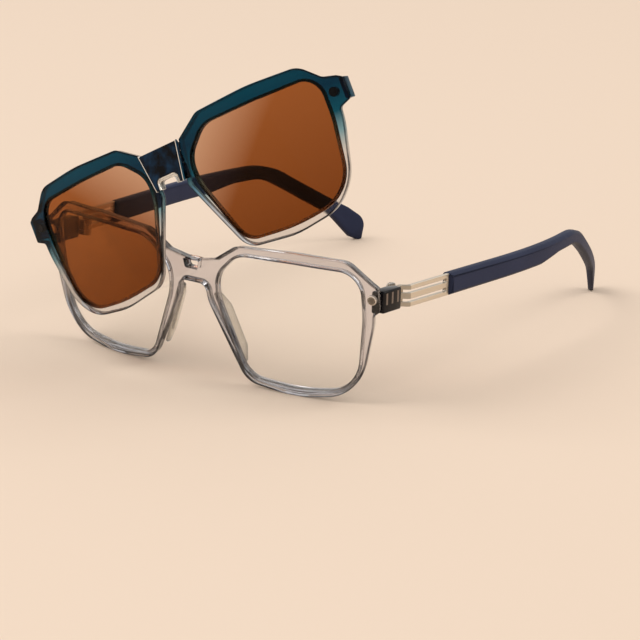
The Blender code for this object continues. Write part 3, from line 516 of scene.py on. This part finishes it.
def pad_plastic():
    paint = Paint("pad_plastic", Transmission_Weight=0.85, IOR=1.42)
    edge = paint.attribute("edge")
    # Dark painted shade along the pads' edges.
    colour = paint.blend((edge * 0.9).clamped(), (0.84, 0.82, 0.76), (0.13, 0.12, 0.10))
    rough = 0.12 + 0.12 * paint.noise(400, 3)
    return paint.finish(Base_Color=colour, Roughness=rough, Normal=paint.bump(paint.noise(300, 3), 0.02, 0.3))


crystal = crystal_grey()

# %% [markdown]
# ## The front
# One plate with two lens openings and the small window in its bridge. All its outlines are lofted
# together, and the tree bends the plate once it is sliced.

# %% Loft and bend the front
left_opening = opening()
front_rings = plate_rings(FRONT_DEPTH, 0.38, FRONT_TAPER, 0.30)
opening_rings = plate_rings(FRONT_DEPTH, 0.32, 0, 0.30)
window_rings = plate_rings(FRONT_DEPTH, 0.10, 0, 0.10)
front_holes = [(left_opening, opening_rings), (flipped(left_opening), opening_rings),
               (bridge_window(), window_rings)]
front_shape = loft(front_outline(), front_holes, front_rings)
front = on_face(sliced(front_shape), "front_plate", front_place, crystal)
wear(front, crystal, "front", "grey_crystal", "front_frame")
print("front plate:", len(front.data.polygons), "faces")

# %% [markdown]
# ## Lenses of the front
# A clear lens only shows by its glints and by its ground edge, which sits in the rim's groove and
# is painted grey as painted shade. It is the opening's own outline, grown by the groove's depth, so
# it can't drift from the rim.

# %% Clear lenses
lens_glass = clear_lens()
lens_rings = [(0.7, 0, 0), (0.3, 0, 0), (0, 0.25, 0.8), (0, 1.35, 0.8), (0.3, 1.6, 0), (0.7, 1.6, 0)]
for side in SIGN:
    lens_shape = sliced(loft(grown(left_opening, GROOVE_DEPTH), [], lens_rings, start=LENS_SETBACK))
    lens = on_face(lens_shape, f"clear_lens_{side}", front_place, lens_glass, mirrored=side == "right")
    wear(lens, lens_glass, "front", "clear_lens", f"demo_lens_{side}")

# %% [markdown]
# ## Nose pads
# The pads are thin clear fins behind the rims. Each is a lofted plate too, but its rings turn with
# a wide radius, so that no edge is left where it would press on the skin.

# %% Nose pads
PAD_HALF, PAD_REACH, PAD_DROP, PAD_SPLAY = 14.2, 3.7, 5.1, 0.9
NOSE_EDGE, NOSE_BEND, NOSE_SLOPE = NOSE_GAP / 2 - RIM_NOSE, 3.933, 0.4139
PAD_SETBACK = 0.15
pad_clear = pad_plastic()
PAD_RINGS = [(0.95, 0, 0.1), (0.45, 0.22, 0.3), (0.12, 0.65, 0.75), (0, 1.1, 1.0), (0.12, 1.55, 0.75),
             (0.45, 1.98, 0.3), (0.95, 2.2, 0.1)]


def pad_point(point):
    """Stands a pad on the rim's sloping nose side, behind the front and splayed to the face."""
    height = point.z - PAD_DROP
    slope = NOSE_EDGE + NOSE_SLOPE * (NOSE_BEND - height)
    across = slope + 0.3 * RIM_NOSE + point.y + PAD_SPLAY * point.x / PAD_REACH
    return Vector((across, FRONT_DEPTH + PAD_SETBACK + point.x, height))


for side in SIGN:
    profile = rounded([(0, PAD_HALF, 0.1 * PAD_HALF), (0, -PAD_HALF, 0.1 * PAD_HALF),
                       (PAD_REACH, -0.45 * PAD_HALF, 3.0), (PAD_REACH, 0.45 * PAD_HALF, 3.0)])
    pad_shape = loft(profile, [], PAD_RINGS)
    for vertex in pad_shape.verts:
        vertex.co = pad_point(vertex.co)
    pad = on_face(pad_shape, f"nose_fin_{side}", front_place, pad_clear, mirrored=side == "right")
    wear(pad, pad_clear, "front", "nose_pad", f"nose_pad_{side}")
print("nose pads:", 2 * PAD_HALF, "mm long")

# %% [markdown]
# ## Metals
# Satin metal is brushed along its length. One finish serves all metals here but the black magnets:
# a noise that is stretched one way gives the fine lines to roughness and bump, and a second, large
# one gives the cloudy tone of plating.

# %% Brushed and plated metal
def satin_metal(name, colour, rough, scales, grain=1.0, metallic=1.0):
    """Fine lines along the axis with the smallest scale, a cloudy tone and edges painted darker as painted
    shade.
    """
    paint = Paint(name, Metallic=metallic)
    lines = paint.noise(700, 3, paint.place(scale=scales))
    cloud = paint.noise(45, 2)
    edge = paint.attribute("edge")
    # The colour of the painted shade on edges, slot walls and the step.
    dark = tuple(0.30 * c for c in colour)
    pale = tuple(min(1.0, 1.12 * c) for c in colour)
    tone = paint.blend((cloud * 0.7 + lines * 0.3).clamped(), tuple(0.86 * c for c in colour), pale)
    return paint.finish(Base_Color=paint.blend((edge * 0.8).clamped(), tone, dark),
                        Roughness=(rough + 0.16 * (lines - 0.5) + 0.08 * cloud).clamped(),
                        Normal=paint.bump(lines, 0.006 * grain, 0.5))


champagne = satin_metal("champagne_metal", srgb(222, 212, 196), 0.32, (1.0, 0.05, 1.0))
steel = satin_metal("hinge_steel", srgb(196, 190, 180), 0.24, (1, 1, 0.15))
plated = satin_metal("plated_magnet", srgb(238, 224, 206), 0.42, (1, 1, 1), grain=0.6, metallic=0.05)


def black_metal():
    paint = Paint("black_magnet", Metallic=0.3, Specular_IOR_Level=0.35)
    colour = paint.blend(paint.noise(90), (0.004, 0.004, 0.005), (0.012, 0.012, 0.014))
    return paint.finish(Base_Color=colour, Roughness=0.30 + 0.15 * paint.noise(500))


black_plate = black_metal()

# %% [markdown]
# ## Magnets
# Four small discs that differ in place, thickness and plating. A seat is a tiny triangle that gives
# the place and the direction. One Geometry Nodes tree sets a disc with a softened rim on each of
# its corners, turned the way the seat faces, so a magnet is three discs that all but coincide.

# %% A tree that sets discs on seats
def disc_tree():
    tree = bpy.data.node_groups.new("discs on seats", "GeometryNodeTree")
    for name, flow, kind in (("Geometry", "INPUT", "Geometry"), ("Disc Radius", "INPUT", "Float"),
                             ("Thickness", "INPUT", "Float"), ("Softness", "INPUT", "Float"),
                             ("Material", "INPUT", "Material"), ("Geometry", "OUTPUT", "Geometry")):
        tree.interface.new_socket(name, in_out=flow, socket_type=f"NodeSocket{kind}")
    nodes, links = tree.nodes, tree.links
    source, drain = nodes.new("NodeGroupInput"), nodes.new("NodeGroupOutput")

    def add(kind, **inputs):
        made = nodes.new(kind)
        for key, value in inputs.items():
            key = key.replace("_", " ")
            if isinstance(value, bpy.types.NodeSocket):
                links.new(value, made.inputs[key])
            else:
                made.inputs[key].default_value = value
        return made

    def less(first, second, factor=1.0):
        """The first less the second times a factor."""
        step = nodes.new("ShaderNodeMath")
        step.operation = "MULTIPLY_ADD"
        links.new(second, step.inputs[0])
        step.inputs[1].default_value = -factor
        links.new(first, step.inputs[2])
        return step.outputs[0]

    radius, thick, soft = (source.outputs[name] for name in ("Disc Radius", "Thickness", "Softness"))
    body = add("GeometryNodeMeshCylinder", Vertices=48, Radius=radius, Depth=less(thick, soft, 2.0))
    inner = add("GeometryNodeMeshCylinder", Vertices=48, Radius=less(radius, soft), Depth=thick)
    both = nodes.new("GeometryNodeJoinGeometry")
    hull = nodes.new("GeometryNodeConvexHull")
    for disc in (body, inner):
        links.new(disc.outputs["Mesh"], both.inputs[0])
    links.new(both.outputs[0], hull.inputs[0])
    facing = nodes.new("FunctionNodeAlignRotationToVector")
    facing.axis = "Z"
    links.new(nodes.new("GeometryNodeInputNormal").outputs[0], facing.inputs["Vector"])
    seat = nodes.new("GeometryNodeInstanceOnPoints")
    links.new(source.outputs["Geometry"], seat.inputs["Points"])
    links.new(hull.outputs[0], seat.inputs["Instance"])
    links.new(facing.outputs[0], seat.inputs["Rotation"])
    real = add("GeometryNodeRealizeInstances", Geometry=seat.outputs[0])
    paint = add("GeometryNodeSetMaterial", Geometry=real.outputs[0], Material=source.outputs["Material"])
    links.new(paint.outputs[0], drain.inputs[0])
    return tree


DISCS = disc_tree()


def face_point(point, place):
    """Where a flat-drawn point lies once the plate is bent and placed."""
    angle, arm = point.x / FACE_RADIUS, FACE_RADIUS - point.y
    return place @ Vector((arm * math.sin(angle), FACE_RADIUS - arm * math.cos(angle), point.z))


SEAT_SIZE = 0.01


def seats(name, spots, place):
    """One tiny triangle for each seat, square to the face."""
    mesh = bpy.data.meshes.new(name)
    corners = []
    for x, depth, height in spots:
        corners += [face_point(Vector((x + a, depth, height + b)), place) * MM
                    for a, b in ((0, 0), (SEAT_SIZE, 0), (0, SEAT_SIZE))]
    mesh.from_pydata(corners, [], [(3 * i, 3 * i + 1, 3 * i + 2) for i in range(len(spots))])
    seat = bpy.data.objects.new(name, mesh)
    bpy.context.scene.collection.objects.link(seat)
    return seat


def magnets(name, sides, place, depth, thickness, softness, material):
    """Discs in the ends of a plate, with their middles at the given depth."""
    spots = seats(name, [(SIGN[side] * MAGNET_PLACE, depth, END_MIDDLE) for side in sides], place)
    sizes = {"Disc Radius": MAGNET_RADIUS, "Thickness": thickness, "Softness": softness}
    return run_tree(spots, DISCS, Material=material, **{key: size * MM for key, size in sizes.items()})


# %% Magnets of the front
front_discs = magnets("plated_discs", SIGN, front_place, depth=0.8, thickness=2.0, softness=0.22,
                      material=plated)
wear(front_discs, plated, "front", "plated_magnet", "frame_magnet_left", "frame_magnet_right")
print("front magnets:", len(front_discs.data.polygons), "faces")

# %% [markdown]
# ## End blocks
# Behind each end of the front, a block of the same plastic runs back to the hinge. It is thick, so
# it looks dark, and that darkness is painted into its colour as near-black painted shade with paler
# streaks. The steel of the hinge shows through it as pale upright bars. The bars are real strips
# let into the block's outer face, set by a tree at even steps.

# %% Blocks painted near-black as painted shade
BLOCK_LOW, BLOCK_HIGH, BLOCK_SOFTNESS = (1.25, -11.0, -3.5), (5.4, -1.95, 3.5), 0.55
BAR_COUNT, BAR_START, BAR_STEP, BAR_SIZE = 3, (5.36, -9.3, 0.9), (0, 2.75, 0), (0.16, 0.85, 3.6)


def block(low, high, soften):
    """A box with softened edges between two corners."""
    shape = bmesh.new()
    bmesh.ops.create_cube(shape, size=1)
    size, middle = Vector(high) - Vector(low), (Vector(high) + Vector(low)) / 2
    for vertex in shape.verts:
        vertex.co = middle + Vector((vertex.co.x * size.x, vertex.co.y * size.y, vertex.co.z * size.z))
    bmesh.ops.bevel(shape, geom=shape.edges[:], offset=soften, segments=3, profile=0.5, affect="EDGES")
    return shape


def shaded_block():
    paint = Paint("block_painted_shade", Transmission_Weight=0.3, IOR=1.3)
    streak = paint.noise(260, 3, paint.place(scale=(1, 1, 0.25)))
    # Near-black painted shade for the thick clear block, with paler streaks.
    colour = paint.ramp(streak, [(0.35, (0.002, 0.002, 0.003)), (0.60, (0.008, 0.008, 0.011)),
                                 (0.80, (0.035, 0.033, 0.035))])
    return paint.finish(Base_Color=colour, Roughness=0.06 + 0.10 * streak)


def bar_tree():
    """Upright bars at even steps along one line."""
    tree = bpy.data.node_groups.new("bars at even steps", "GeometryNodeTree")
    inputs = (("Geometry", "Geometry"), ("Count", "Int"), ("Start", "Vector"), ("Step", "Vector"),
              ("Size", "Vector"), ("Material", "Material"))
    for name, kind in inputs:
        tree.interface.new_socket(name, in_out="INPUT", socket_type=f"NodeSocket{kind}")
    tree.interface.new_socket("Geometry", in_out="OUTPUT", socket_type="NodeSocketGeometry")
    nodes, links = tree.nodes, tree.links
    source, drain = nodes.new("NodeGroupInput"), nodes.new("NodeGroupOutput")
    line, bar, seat, real, paint = (nodes.new(f"GeometryNode{kind}") for kind in (
        "MeshLine", "MeshCube", "InstanceOnPoints", "RealizeInstances", "SetMaterial"))
    wires = [(source, "Count", line, "Count"), (source, "Start", line, "Start Location"),
             (source, "Step", line, "Offset"), (source, "Size", bar, "Size"), (line, "Mesh", seat, "Points"),
             (bar, "Mesh", seat, "Instance"), (seat, "Instances", real, "Geometry"),
             (real, "Geometry", paint, "Geometry"), (source, "Material", paint, "Material"),
             (paint, "Geometry", drain, "Geometry")]
    for giver, output, taker, entry in wires:
        links.new(giver.outputs[output], taker.inputs[entry])
    return tree


block_shade = shaded_block()
BARS = bar_tree()
pale_bar = satin_metal("pale_bar", srgb(132, 122, 116), 0.35, (1, 1, 0.2))
for side in SIGN:
    still = temple_place(side, 0)
    end_block = placed(block(BLOCK_LOW, BLOCK_HIGH, BLOCK_SOFTNESS), f"end_block_{side}",
                       lambda point: still @ point)
    wear(end_block, block_shade, "front", "grey_crystal")
    vectors = {"Start": BAR_START, "Step": BAR_STEP, "Size": BAR_SIZE}
    bars = run_tree(placed(bmesh.new(), f"hinge_bars_{side}"), BARS, Count=BAR_COUNT, Material=pale_bar,
                    **{key: [size * MM for size in value] for key, value in vectors.items()})
    bars.data.transform(in_metres(still))
    if side == "right":
        bars.data.flip_normals()
    wear(bars, pale_bar, "front", "hinge_steel")

# %% Finish the hinge's own nodes
for side in SIGN:
    for name in (f"front_leaf_{side}", f"temple_leaf_{side}", f"hinge_screw_{side}"):
        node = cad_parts[name]
        node.data.materials.clear()
        node.data.materials.append(steel)

# %% [markdown]
# ## Temple plates
# A temple starts as a satin metal plate with two long slots, and one small step outwards near the
# hinge. It is lofted flat with the slots as holes, cut into strips where it steps, and then each
# point is moved outwards by its share of the step.

# %% Plates with slots and a step
PLATE_START, PLATE_END, PLATE_HALF = -1.5, 21.6, 3.4
SLOT_START, SLOT_END, SLOT_HALF, SLOT_OFFSET = -0.4, 18.3, 0.5, 1.45
HOLE_START, HOLE_END, HOLE_HALF = 18.8, 20.0, 0.66
PLATE_OUT, STEP_START, STEP_LENGTH, STEP_OUT = 2.9, -0.4, 2.2, 2.0
STEP_SHADE = 0.72
PLATE_RINGS = [(0.25, 0, 0), (0.12, 0, 0.1), (0, 0.12, 0.35), (0, 1.08, 0.35), (0.12, 1.2, 0.1),
               (0.25, 1.2, 0)]
# The slot walls carry dark painted shade.
SLOT_RINGS = [(0.16, 0, 0), (0.08, 0, 0.4), (0.0, 0.08, 0.9), (0.0, 1.12, 0.9), (0.08, 1.2, 0.4),
              (0.16, 1.2, 0)]


def plate_outline():
    return rounded([(PLATE_START, PLATE_HALF, 0.5), (PLATE_START, -PLATE_HALF, 0.5),
                    (PLATE_END, -PLATE_HALF, 0.2), (PLATE_END, PLATE_HALF, 0.2)])


def slot_outline(middle):
    """A long slot that ends in a small drilled hole."""
    lower = [(SLOT_START, -SLOT_HALF, 0.2), (SLOT_END, -SLOT_HALF, 0.8), (HOLE_START, -HOLE_HALF, 0.8),
             (HOLE_END, -HOLE_HALF, 0.6)]
    return rounded([(x, middle + y, r) for x, y, r in lower]
                   + [(x, middle - y, r) for x, y, r in reversed(lower)])


def stepped(point):
    """Moves a point of the plate outwards by its share of the step, which starts and ends gently."""
    share = min(max((point.x - STEP_START) / STEP_LENGTH, 0), 1)
    share = share * share * (3 - 2 * share)
    return Vector((PLATE_OUT + STEP_OUT * share + point.y, point.x, point.z))


for side in SIGN:
    slots = [(slot_outline(s * SLOT_OFFSET), SLOT_RINGS) for s in (1, -1)]
    plate_shape = sliced(loft(plate_outline(), slots, PLATE_RINGS), step=0.3, low=-0.6, high=2.1)
    layer = plate_shape.verts.layers.float["edge"]
    # The step is painted darker: painted shade where it faces another way.
    for vertex in plate_shape.verts:
        if STEP_START - 1.0 < vertex.co.x < STEP_START + STEP_LENGTH + 0.1:
            vertex[layer] = max(vertex[layer], STEP_SHADE)
    spot = temple_place(side, SPLAY[side])
    plate = placed(plate_shape, f"slotted_plate_{side}", lambda point: spot @ stepped(point))
    wear(plate, champagne, f"temple_{side}", "champagne_metal", f"temple_plate_{side}")

# %% [markdown]
# ## Temple tips
# The navy tips are cut from sheet, bevelled all round and bent behind the ear. The side view is one
# outline, the rings give the bevel, and a power curve bends the tip inwards. The foot is thinner
# than the shaft.

# %% Navy finish and the two tips
TIP_START, TIP_REACH, TIP_TOP, TIP_FALL = 20.9, 113.5, 3.55, 32
TIP_OUT, TIP_THICKNESS = 5.35, 3.7
INWARD_START, INWARD_LENGTH, TIP_INWARD, INWARD_POWER = 46, 82, 20, 2.4
FOOT_START, FOOT_LENGTH, FOOT_THINNING = -9, 20, 0.45
TIP_SHARES = [
    (0.000, 0.000, 0.02), (0.652, 0.006, 0.90), (0.722, 0.082, 0.60), (0.954, 0.598, 0.16),
    (1.002, 0.738, 0.18), (0.996, 1.035, 0.08), (0.986, 1.035, 0.04), (0.900, 0.655, 0.50),
    (0.762, 0.345, 0.70), (0.668, 0.155, 0.60), (0.550, 0.158, 0.30), (0.443, 0.210, 0.30),
    (0.000, 0.219, 0.02),
]
TIP_RINGS = [(1.0, 0, 0), (0.45, 0.12, 0.1), (0.1, 0.5, 0.3), (0, 1.0, 0.5), (0, 2.5, 0.6), (0.25, 3.0, 0.8),
             (0.85, 3.62, 0.55), (1.05, 3.7, 0.15), (1.4, 3.7, 0)]


def navy_plastic():
    paint = Paint("navy_temple", IOR=1.3, Specular_IOR_Level=0.4)
    edge = paint.attribute("edge")
    mottle = paint.noise(70, 3)
    grain = paint.noise(1500, 2)
    face = paint.blend(mottle, srgb(30, 38, 64), srgb(44, 52, 80))
    # Darker navy painted along the edges as painted shade.
    colour = paint.blend((edge * 1.1).clamped(), face, srgb(8, 12, 34))
    return paint.finish(Base_Color=colour, Roughness=(0.50 + 0.2 * (grain - 0.5) - 0.12 * edge).clamped(),
                        Normal=paint.bump(grain, 0.012, 0.4))


def eared(point):
    """Thins the foot about its middle, then bends the tip inwards."""
    inward = TIP_INWARD * (max(0.0, point.x - INWARD_START) / INWARD_LENGTH) ** INWARD_POWER
    thin = 1 - FOOT_THINNING * min(max((FOOT_START - point.z) / FOOT_LENGTH, 0), 1)
    return Vector((TIP_OUT + (point.y - TIP_THICKNESS / 2) * thin - inward, point.x, point.z))


navy = navy_plastic()
for side in SIGN:
    outline = rounded([(TIP_START + x * TIP_REACH, TIP_TOP - y * TIP_FALL, r * TIP_FALL)
                       for x, y, r in TIP_SHARES])
    tip_shape = sliced(loft(outline, [], TIP_RINGS))
    spot = temple_place(side, SPLAY[side])
    tip = placed(tip_shape, f"navy_tip_{side}", lambda point: spot @ eared(point))
    keep_above_floor(tip)
    wear(tip, navy, f"temple_{side}", "navy_temple", f"temple_tip_{side}")
    print(f"{side} tip:", len(tip.data.polygons), "faces")

# %% [markdown]
# ## The clip-on
# Its rims are the same plates, thinner, cut off at the hinges of the middle. The colour is dyed
# from above: petrol blue at the brow that fades to clear grey below the middle. The height of each
# point on the flat drawing is kept in an attribute, fade, so the dye stays put when the clip-on is
# turned. A second one is highest at the brow's nose side, where a pale patch of painted reflection
# lies on the brown lens.

# %% Dyed plastic, brown lens and blue-black bridge
def dyed_blue():
    paint = Paint("blue_fade", Transmission_Weight=1.0, IOR=1.18, Specular_IOR_Level=0.2)
    edge = (paint.attribute("edge") * (0.9 + 0.5 * paint.noise(180, 2))).clamped()
    height = paint.attribute("fade") + 0.05 * (paint.noise(60, 2) - 0.5)
    face = paint.ramp(height, [(0.0, (0.80, 0.78, 0.78)), (0.36, (0.74, 0.74, 0.75)),
                               (0.50, (0.20, 0.40, 0.50)), (0.62, (0.003, 0.085, 0.150)),
                               (0.80, (0.001, 0.030, 0.072)), (1.0, (0.001, 0.064, 0.120))])
    # Near-black painted shade along the edges and walls.
    return paint.finish(Base_Color=paint.blend((edge * 1.1).clamped() ** 0.75, face, (0.002, 0.003, 0.006)),
                        Roughness=0.03 + 0.05 * paint.noise(600, 3))


def brown_lens():
    paint = Paint("brown_tint", Transmission_Weight=1.0, IOR=1.12)
    tone = paint.ramp(paint.attribute("fade"), [(0.0, (0.20, 0.058, 0.012)), (1.0, (0.36, 0.125, 0.036))])
    # A pale patch near the brow's nose side: painted reflection.
    colour = paint.ramp(paint.attribute("glow"), [(0.16, (0, 0, 0)), (0.96, (1, 1, 1))])
    colour = paint.blend(colour, tone, (0.72, 0.48, 0.34))
    # Dark painted shade at the lens's edge.
    return paint.finish(Base_Color=paint.blend(paint.attribute("edge"), colour, (0.02, 0.008, 0.004)),
                        Roughness=0.02 + 0.01 * paint.noise(80))


def bridge_plastic():
    paint = Paint("bridge_blue", IOR=1.25, Specular_IOR_Level=0.3)
    cloud = paint.noise(230, 3)
    face = paint.ramp(cloud, [(0.38, (0.001, 0.002, 0.004)), (0.52, (0.003, 0.014, 0.032)),
                              (0.70, (0.006, 0.032, 0.075))])
    # Near-black painted shade along the edges.
    return paint.finish(Base_Color=paint.blend(paint.attribute("edge") * 0.8, face, (0.001, 0.001, 0.002)),
                        Roughness=0.08 + 0.06 * cloud)


FADE_LOW, FADE_HIGH = -OPENING_HEIGHT / 2 - 2, OPENING_HEIGHT / 2 + 4


def keep_height(shape):
    """Stores how high each point lies on the flat drawing, and a mask for the painted reflection, highest
    near the nose side of the brow.
    """
    fade, glow = (shape.verts.layers.float.new(name) for name in ("fade", "glow"))
    for vertex in shape.verts:
        vertex[fade] = (vertex.co.z - FADE_LOW) / (FADE_HIGH - FADE_LOW)
        vertex[glow] = vertex[fade] - (vertex.co.x - NOSE_GAP / 2) / OPENING_WIDTH
    return shape


dyed, brown, blue_black = dyed_blue(), brown_lens(), bridge_plastic()
clip_rings = plate_rings(CLIP_DEPTH, 0.32, CLIP_TAPER, 0.30)
clip_hole_rings = plate_rings(CLIP_DEPTH, 0.28, 0, 0.30)
clip_opening = opening(CLIP_OPENING_RISE, CLIP_OPENING_DROP)
tint_rings = [(0.7, 0, 0), (0.3, 0, 0), (0, 0.2, 0.9), (0, 0.9, 0.9), (0.3, 1.1, 0), (0.7, 1.1, 0)]
for side in SIGN:
    flip = side == "right"
    rim_shape = keep_height(sliced(loft(clip_rim_outline(), [(clip_opening, clip_hole_rings)], clip_rings)))
    rim = on_face(rim_shape, f"dyed_rim_{side}", clip_place, dyed, mirrored=flip)
    wear(rim, dyed, f"clip_{side}", "blue_fade", f"clip_rim_{side}")
    tint_shape = sliced(loft(grown(clip_opening, GROOVE_DEPTH), [], tint_rings, start=TINT_SETBACK))
    tint_shape = keep_height(tint_shape)
    tint = on_face(tint_shape, f"brown_lens_{side}", clip_place, brown, mirrored=flip)
    wear(tint, brown, f"clip_{side}", "brown_tint", f"tinted_lens_{side}")
    disc = magnets(f"black_disc_{side}", [side], clip_place, depth=1.15, thickness=2.3, softness=0.2,
                   material=black_plate)
    wear(disc, black_plate, f"clip_{side}", "dark_magnet", f"clip_magnet_{side}")
    print(f"{side} half of the clip-on:", len(rim.data.polygons), "faces in its rim")

# %% [markdown]
# ## Rear lips of the clip-on
# A small lip behind each end tab hooks round the front's end. It is a block of the dyed plastic,
# bent with the rest.

# %% Lips
LIP_LOW, LIP_HIGH, LIP_SOFTNESS = (TAB_REACH - 1.8, 1.2, 8.9), (TAB_REACH - 0.05, 4.85, 15.5), 0.3
for side in SIGN:
    shape = keep_height(block(LIP_LOW, LIP_HIGH, LIP_SOFTNESS))
    shape.verts.layers.float.new("edge")
    lip = on_face(shape, f"tab_lip_{side}", clip_place, dyed, mirrored=side == "right")
    wear(lip, dyed, f"clip_{side}", "blue_fade")

# %% [markdown]
# ## The clip-on's middle
# A glossy blue-black plate over an arch, with a bright clear lip under the arch. The clip-on folds
# on two pins here, and the gap at each side of the plate shows bright metal.

# %% Bridge plate, its clear lip and the bright gap strips
ARCH_HALF, ARCH_TOP, ARCH_CORNER = 4.3, 9.4, 3.1
ARCH_LIP = 1.1
BRIDGE_PROUD, ARCH_LIP_PROUD, STRIP_PROUD = 1.4, 1.5, 1.45


def bridge_outline():
    """The tapered plate over its arch."""
    side = [(CLIP_BRIDGE_HALF_TOP, CLIP_BRIDGE_TOP, 0.4), (CLIP_BRIDGE_HALF_FOOT, CLIP_BRIDGE_FOOT, 0.4),
            (ARCH_HALF, CLIP_BRIDGE_FOOT, 0.4), (ARCH_HALF, ARCH_TOP, ARCH_CORNER)]
    return rounded(side + [(-x, y, r) for x, y, r in reversed(side)])


def arch_lip_outline():
    """A band of even width round the inside of the arch."""
    outer = [(ARCH_HALF, CLIP_BRIDGE_FOOT, 0.1), (ARCH_HALF, ARCH_TOP, ARCH_CORNER)]
    inner = [(ARCH_HALF - ARCH_LIP, CLIP_BRIDGE_FOOT, 0.1),
             (ARCH_HALF - ARCH_LIP, ARCH_TOP - ARCH_LIP, ARCH_CORNER - 1.0)]
    outer, inner = (band + [(-x, y, r) for x, y, r in reversed(band)] for band in (outer, inner))
    return rounded(outer + inner[::-1])


bridge_rings = plate_rings(1.9, 0.3, 0.1, 0.2)
bridge_shape = loft(bridge_outline(), [], bridge_rings, start=-BRIDGE_PROUD)
bridge = on_face(bridge_shape, "bridge_plate", clip_place, blue_black)
wear(bridge, blue_black, "clip_middle", "bridge_blue", "clip_bridge")

arch_rings = [(0.2, 0, 0), (0.06, 0.06, 0.2), (0, 0.2, 0.3), (0, 1.9, 0.3), (0.06, 2.04, 0.2), (0.2, 2.1, 0)]
arch_shape = loft(arch_lip_outline(), [], arch_rings, start=-ARCH_LIP_PROUD)
arch = on_face(arch_shape, "arch_lip", clip_place, pad_clear)
wear(arch, pad_clear, "clip_middle", "bridge_blue")

bright = satin_metal("bright_gap", srgb(235, 232, 226), 0.18, (1, 1, 0.2))
strip_outline = rounded([(8.16, 18.3, 0.05), (7.90, 18.3, 0.05), (5.62, 5.8, 0.05), (5.86, 5.8, 0.05)])
strip_rings = [(0.04, 0, 0), (0, 0.04, 0), (0, 0.9, 0), (0.04, 0.94, 0)]
for side in SIGN:
    gap = on_face(loft(strip_outline, [], strip_rings, start=-STRIP_PROUD), f"gap_strip_{side}", clip_place,
                  bright, mirrored=side == "right")
    wear(gap, bright, "clip_middle", "hinge_steel")

# %% Hinge barrels of the middle
PIN_OFFSET, PIN_DEPTH = 5.9, 1.45
BARREL_RADIUS, BARREL_SOFTNESS = 1.1, 0.14
BARREL_HEIGHTS = {"low": (6.1, 11.1), "middle": (11.25, 14.85), "high": (15.0, 17.5)}


def barrel(name, low, high, mirrored):
    """A short round with softened rims about the clip-on's hinge axis."""
    shape = bmesh.new()
    bmesh.ops.create_cone(shape, cap_ends=True, segments=40, radius1=BARREL_RADIUS, radius2=BARREL_RADIUS,
                          depth=high - low)
    rims = [e for e in shape.edges if abs(e.verts[0].co.z - e.verts[1].co.z) < BARREL_SOFTNESS]
    bmesh.ops.bevel(shape, geom=rims, offset=BARREL_SOFTNESS, segments=2, affect="EDGES")
    for vertex in shape.verts:
        vertex.co += Vector((PIN_OFFSET, PIN_DEPTH, (low + high) / 2))
    shape.verts.layers.float.new("edge")
    return on_face(keep_height(shape), name, clip_place, blue_black, mirrored=mirrored)


for side in SIGN:
    for name, (low, high) in BARREL_HEIGHTS.items():
        body = f"clip_{side}" if name == "middle" else "clip_middle"
        wear(barrel(f"barrel_{name}_{side}", low, high, side == "right"), blue_black, body, "bridge_blue")
    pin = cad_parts[f"clip_pin_{side}"]
    pin.data.materials.clear()
    pin.data.materials.append(steel)

# %% [markdown]
# ## Studio
# A plain pale floor, a soft world and two large soft lamps. The camera looks along the same line
# as the photograph's.

# %% Floor, lamps and camera
FLOOR_CORNERS = [(-6, -6, -0.0002), (6, -6, -0.0002), (6, 9, -0.0002), (-6, 9, -0.0002)]
FLOOR_COLOUR = (0.80, 0.655, 0.53, 1)
WORLD_COLOUR, WORLD_STRENGTH = (1.0, 0.965, 0.93, 1), 0.77
LAMP_COLOUR, LAMP_AIM = (1.0, 0.97, 0.94), Vector((0, 0, 0.03))
LAMPS = [("key", (-0.9, -1.0, 1.6), 1.4, 16), ("rim", (1.1, 0.9, 1.3), 1.0, 6)]


def studio():
    """The floor, the soft world and the lamps (name, place, size and power)."""
    floor_mesh = bpy.data.meshes.new("floor")
    floor_mesh.from_pydata(FLOOR_CORNERS, [], [(0, 1, 2, 3)])
    floor = bpy.data.objects.new("floor", floor_mesh)
    bpy.context.scene.collection.objects.link(floor)
    paint = Paint("pale_floor", Base_Color=FLOOR_COLOUR, Roughness=0.9, Specular_IOR_Level=0.1)
    floor_mesh.materials.append(paint.material)
    world = bpy.data.worlds.new("soft_world")
    bpy.context.scene.world = world
    world.use_nodes = True
    light = world.node_tree.nodes["Background"]
    light.inputs["Color"].default_value = WORLD_COLOUR
    light.inputs["Strength"].default_value = WORLD_STRENGTH
    for name, spot, size, power in LAMPS:
        lamp = bpy.data.lights.new(name, "AREA")
        lamp.shape = "DISK"
        lamp.size = size
        lamp.energy = power
        lamp.color = LAMP_COLOUR
        stand = bpy.data.objects.new(name, lamp)
        stand.location = spot
        stand.rotation_euler = (LAMP_AIM - Vector(spot)).to_track_quat("-Z", "Y").to_euler()
        bpy.context.scene.collection.objects.link(stand)


studio()

# %% The camera, with the directions of its right side and its top
FOCAL_LENGTH, SENSOR_WIDTH = 223.19, 36
CAMERA_PLACE = (0.75515, -0.97879, 0.39015)
CAMERA_RIGHT, CAMERA_UP = Vector((0.79058, 0.61235, -0.00097)), Vector((-0.18333, 0.23820, 0.95375))
optics = bpy.data.cameras.new("camera")
optics.lens, optics.sensor_width = FOCAL_LENGTH, SENSOR_WIDTH
camera = bpy.data.objects.new("camera", optics)
bpy.context.scene.collection.objects.link(camera)
directions = Matrix((CAMERA_RIGHT, CAMERA_UP, CAMERA_RIGHT.cross(CAMERA_UP)))
camera.matrix_world = directions.transposed().to_4x4()
camera.location = CAMERA_PLACE
bpy.context.scene.camera = camera
bpy.context.scene.view_settings.view_transform = "Standard"
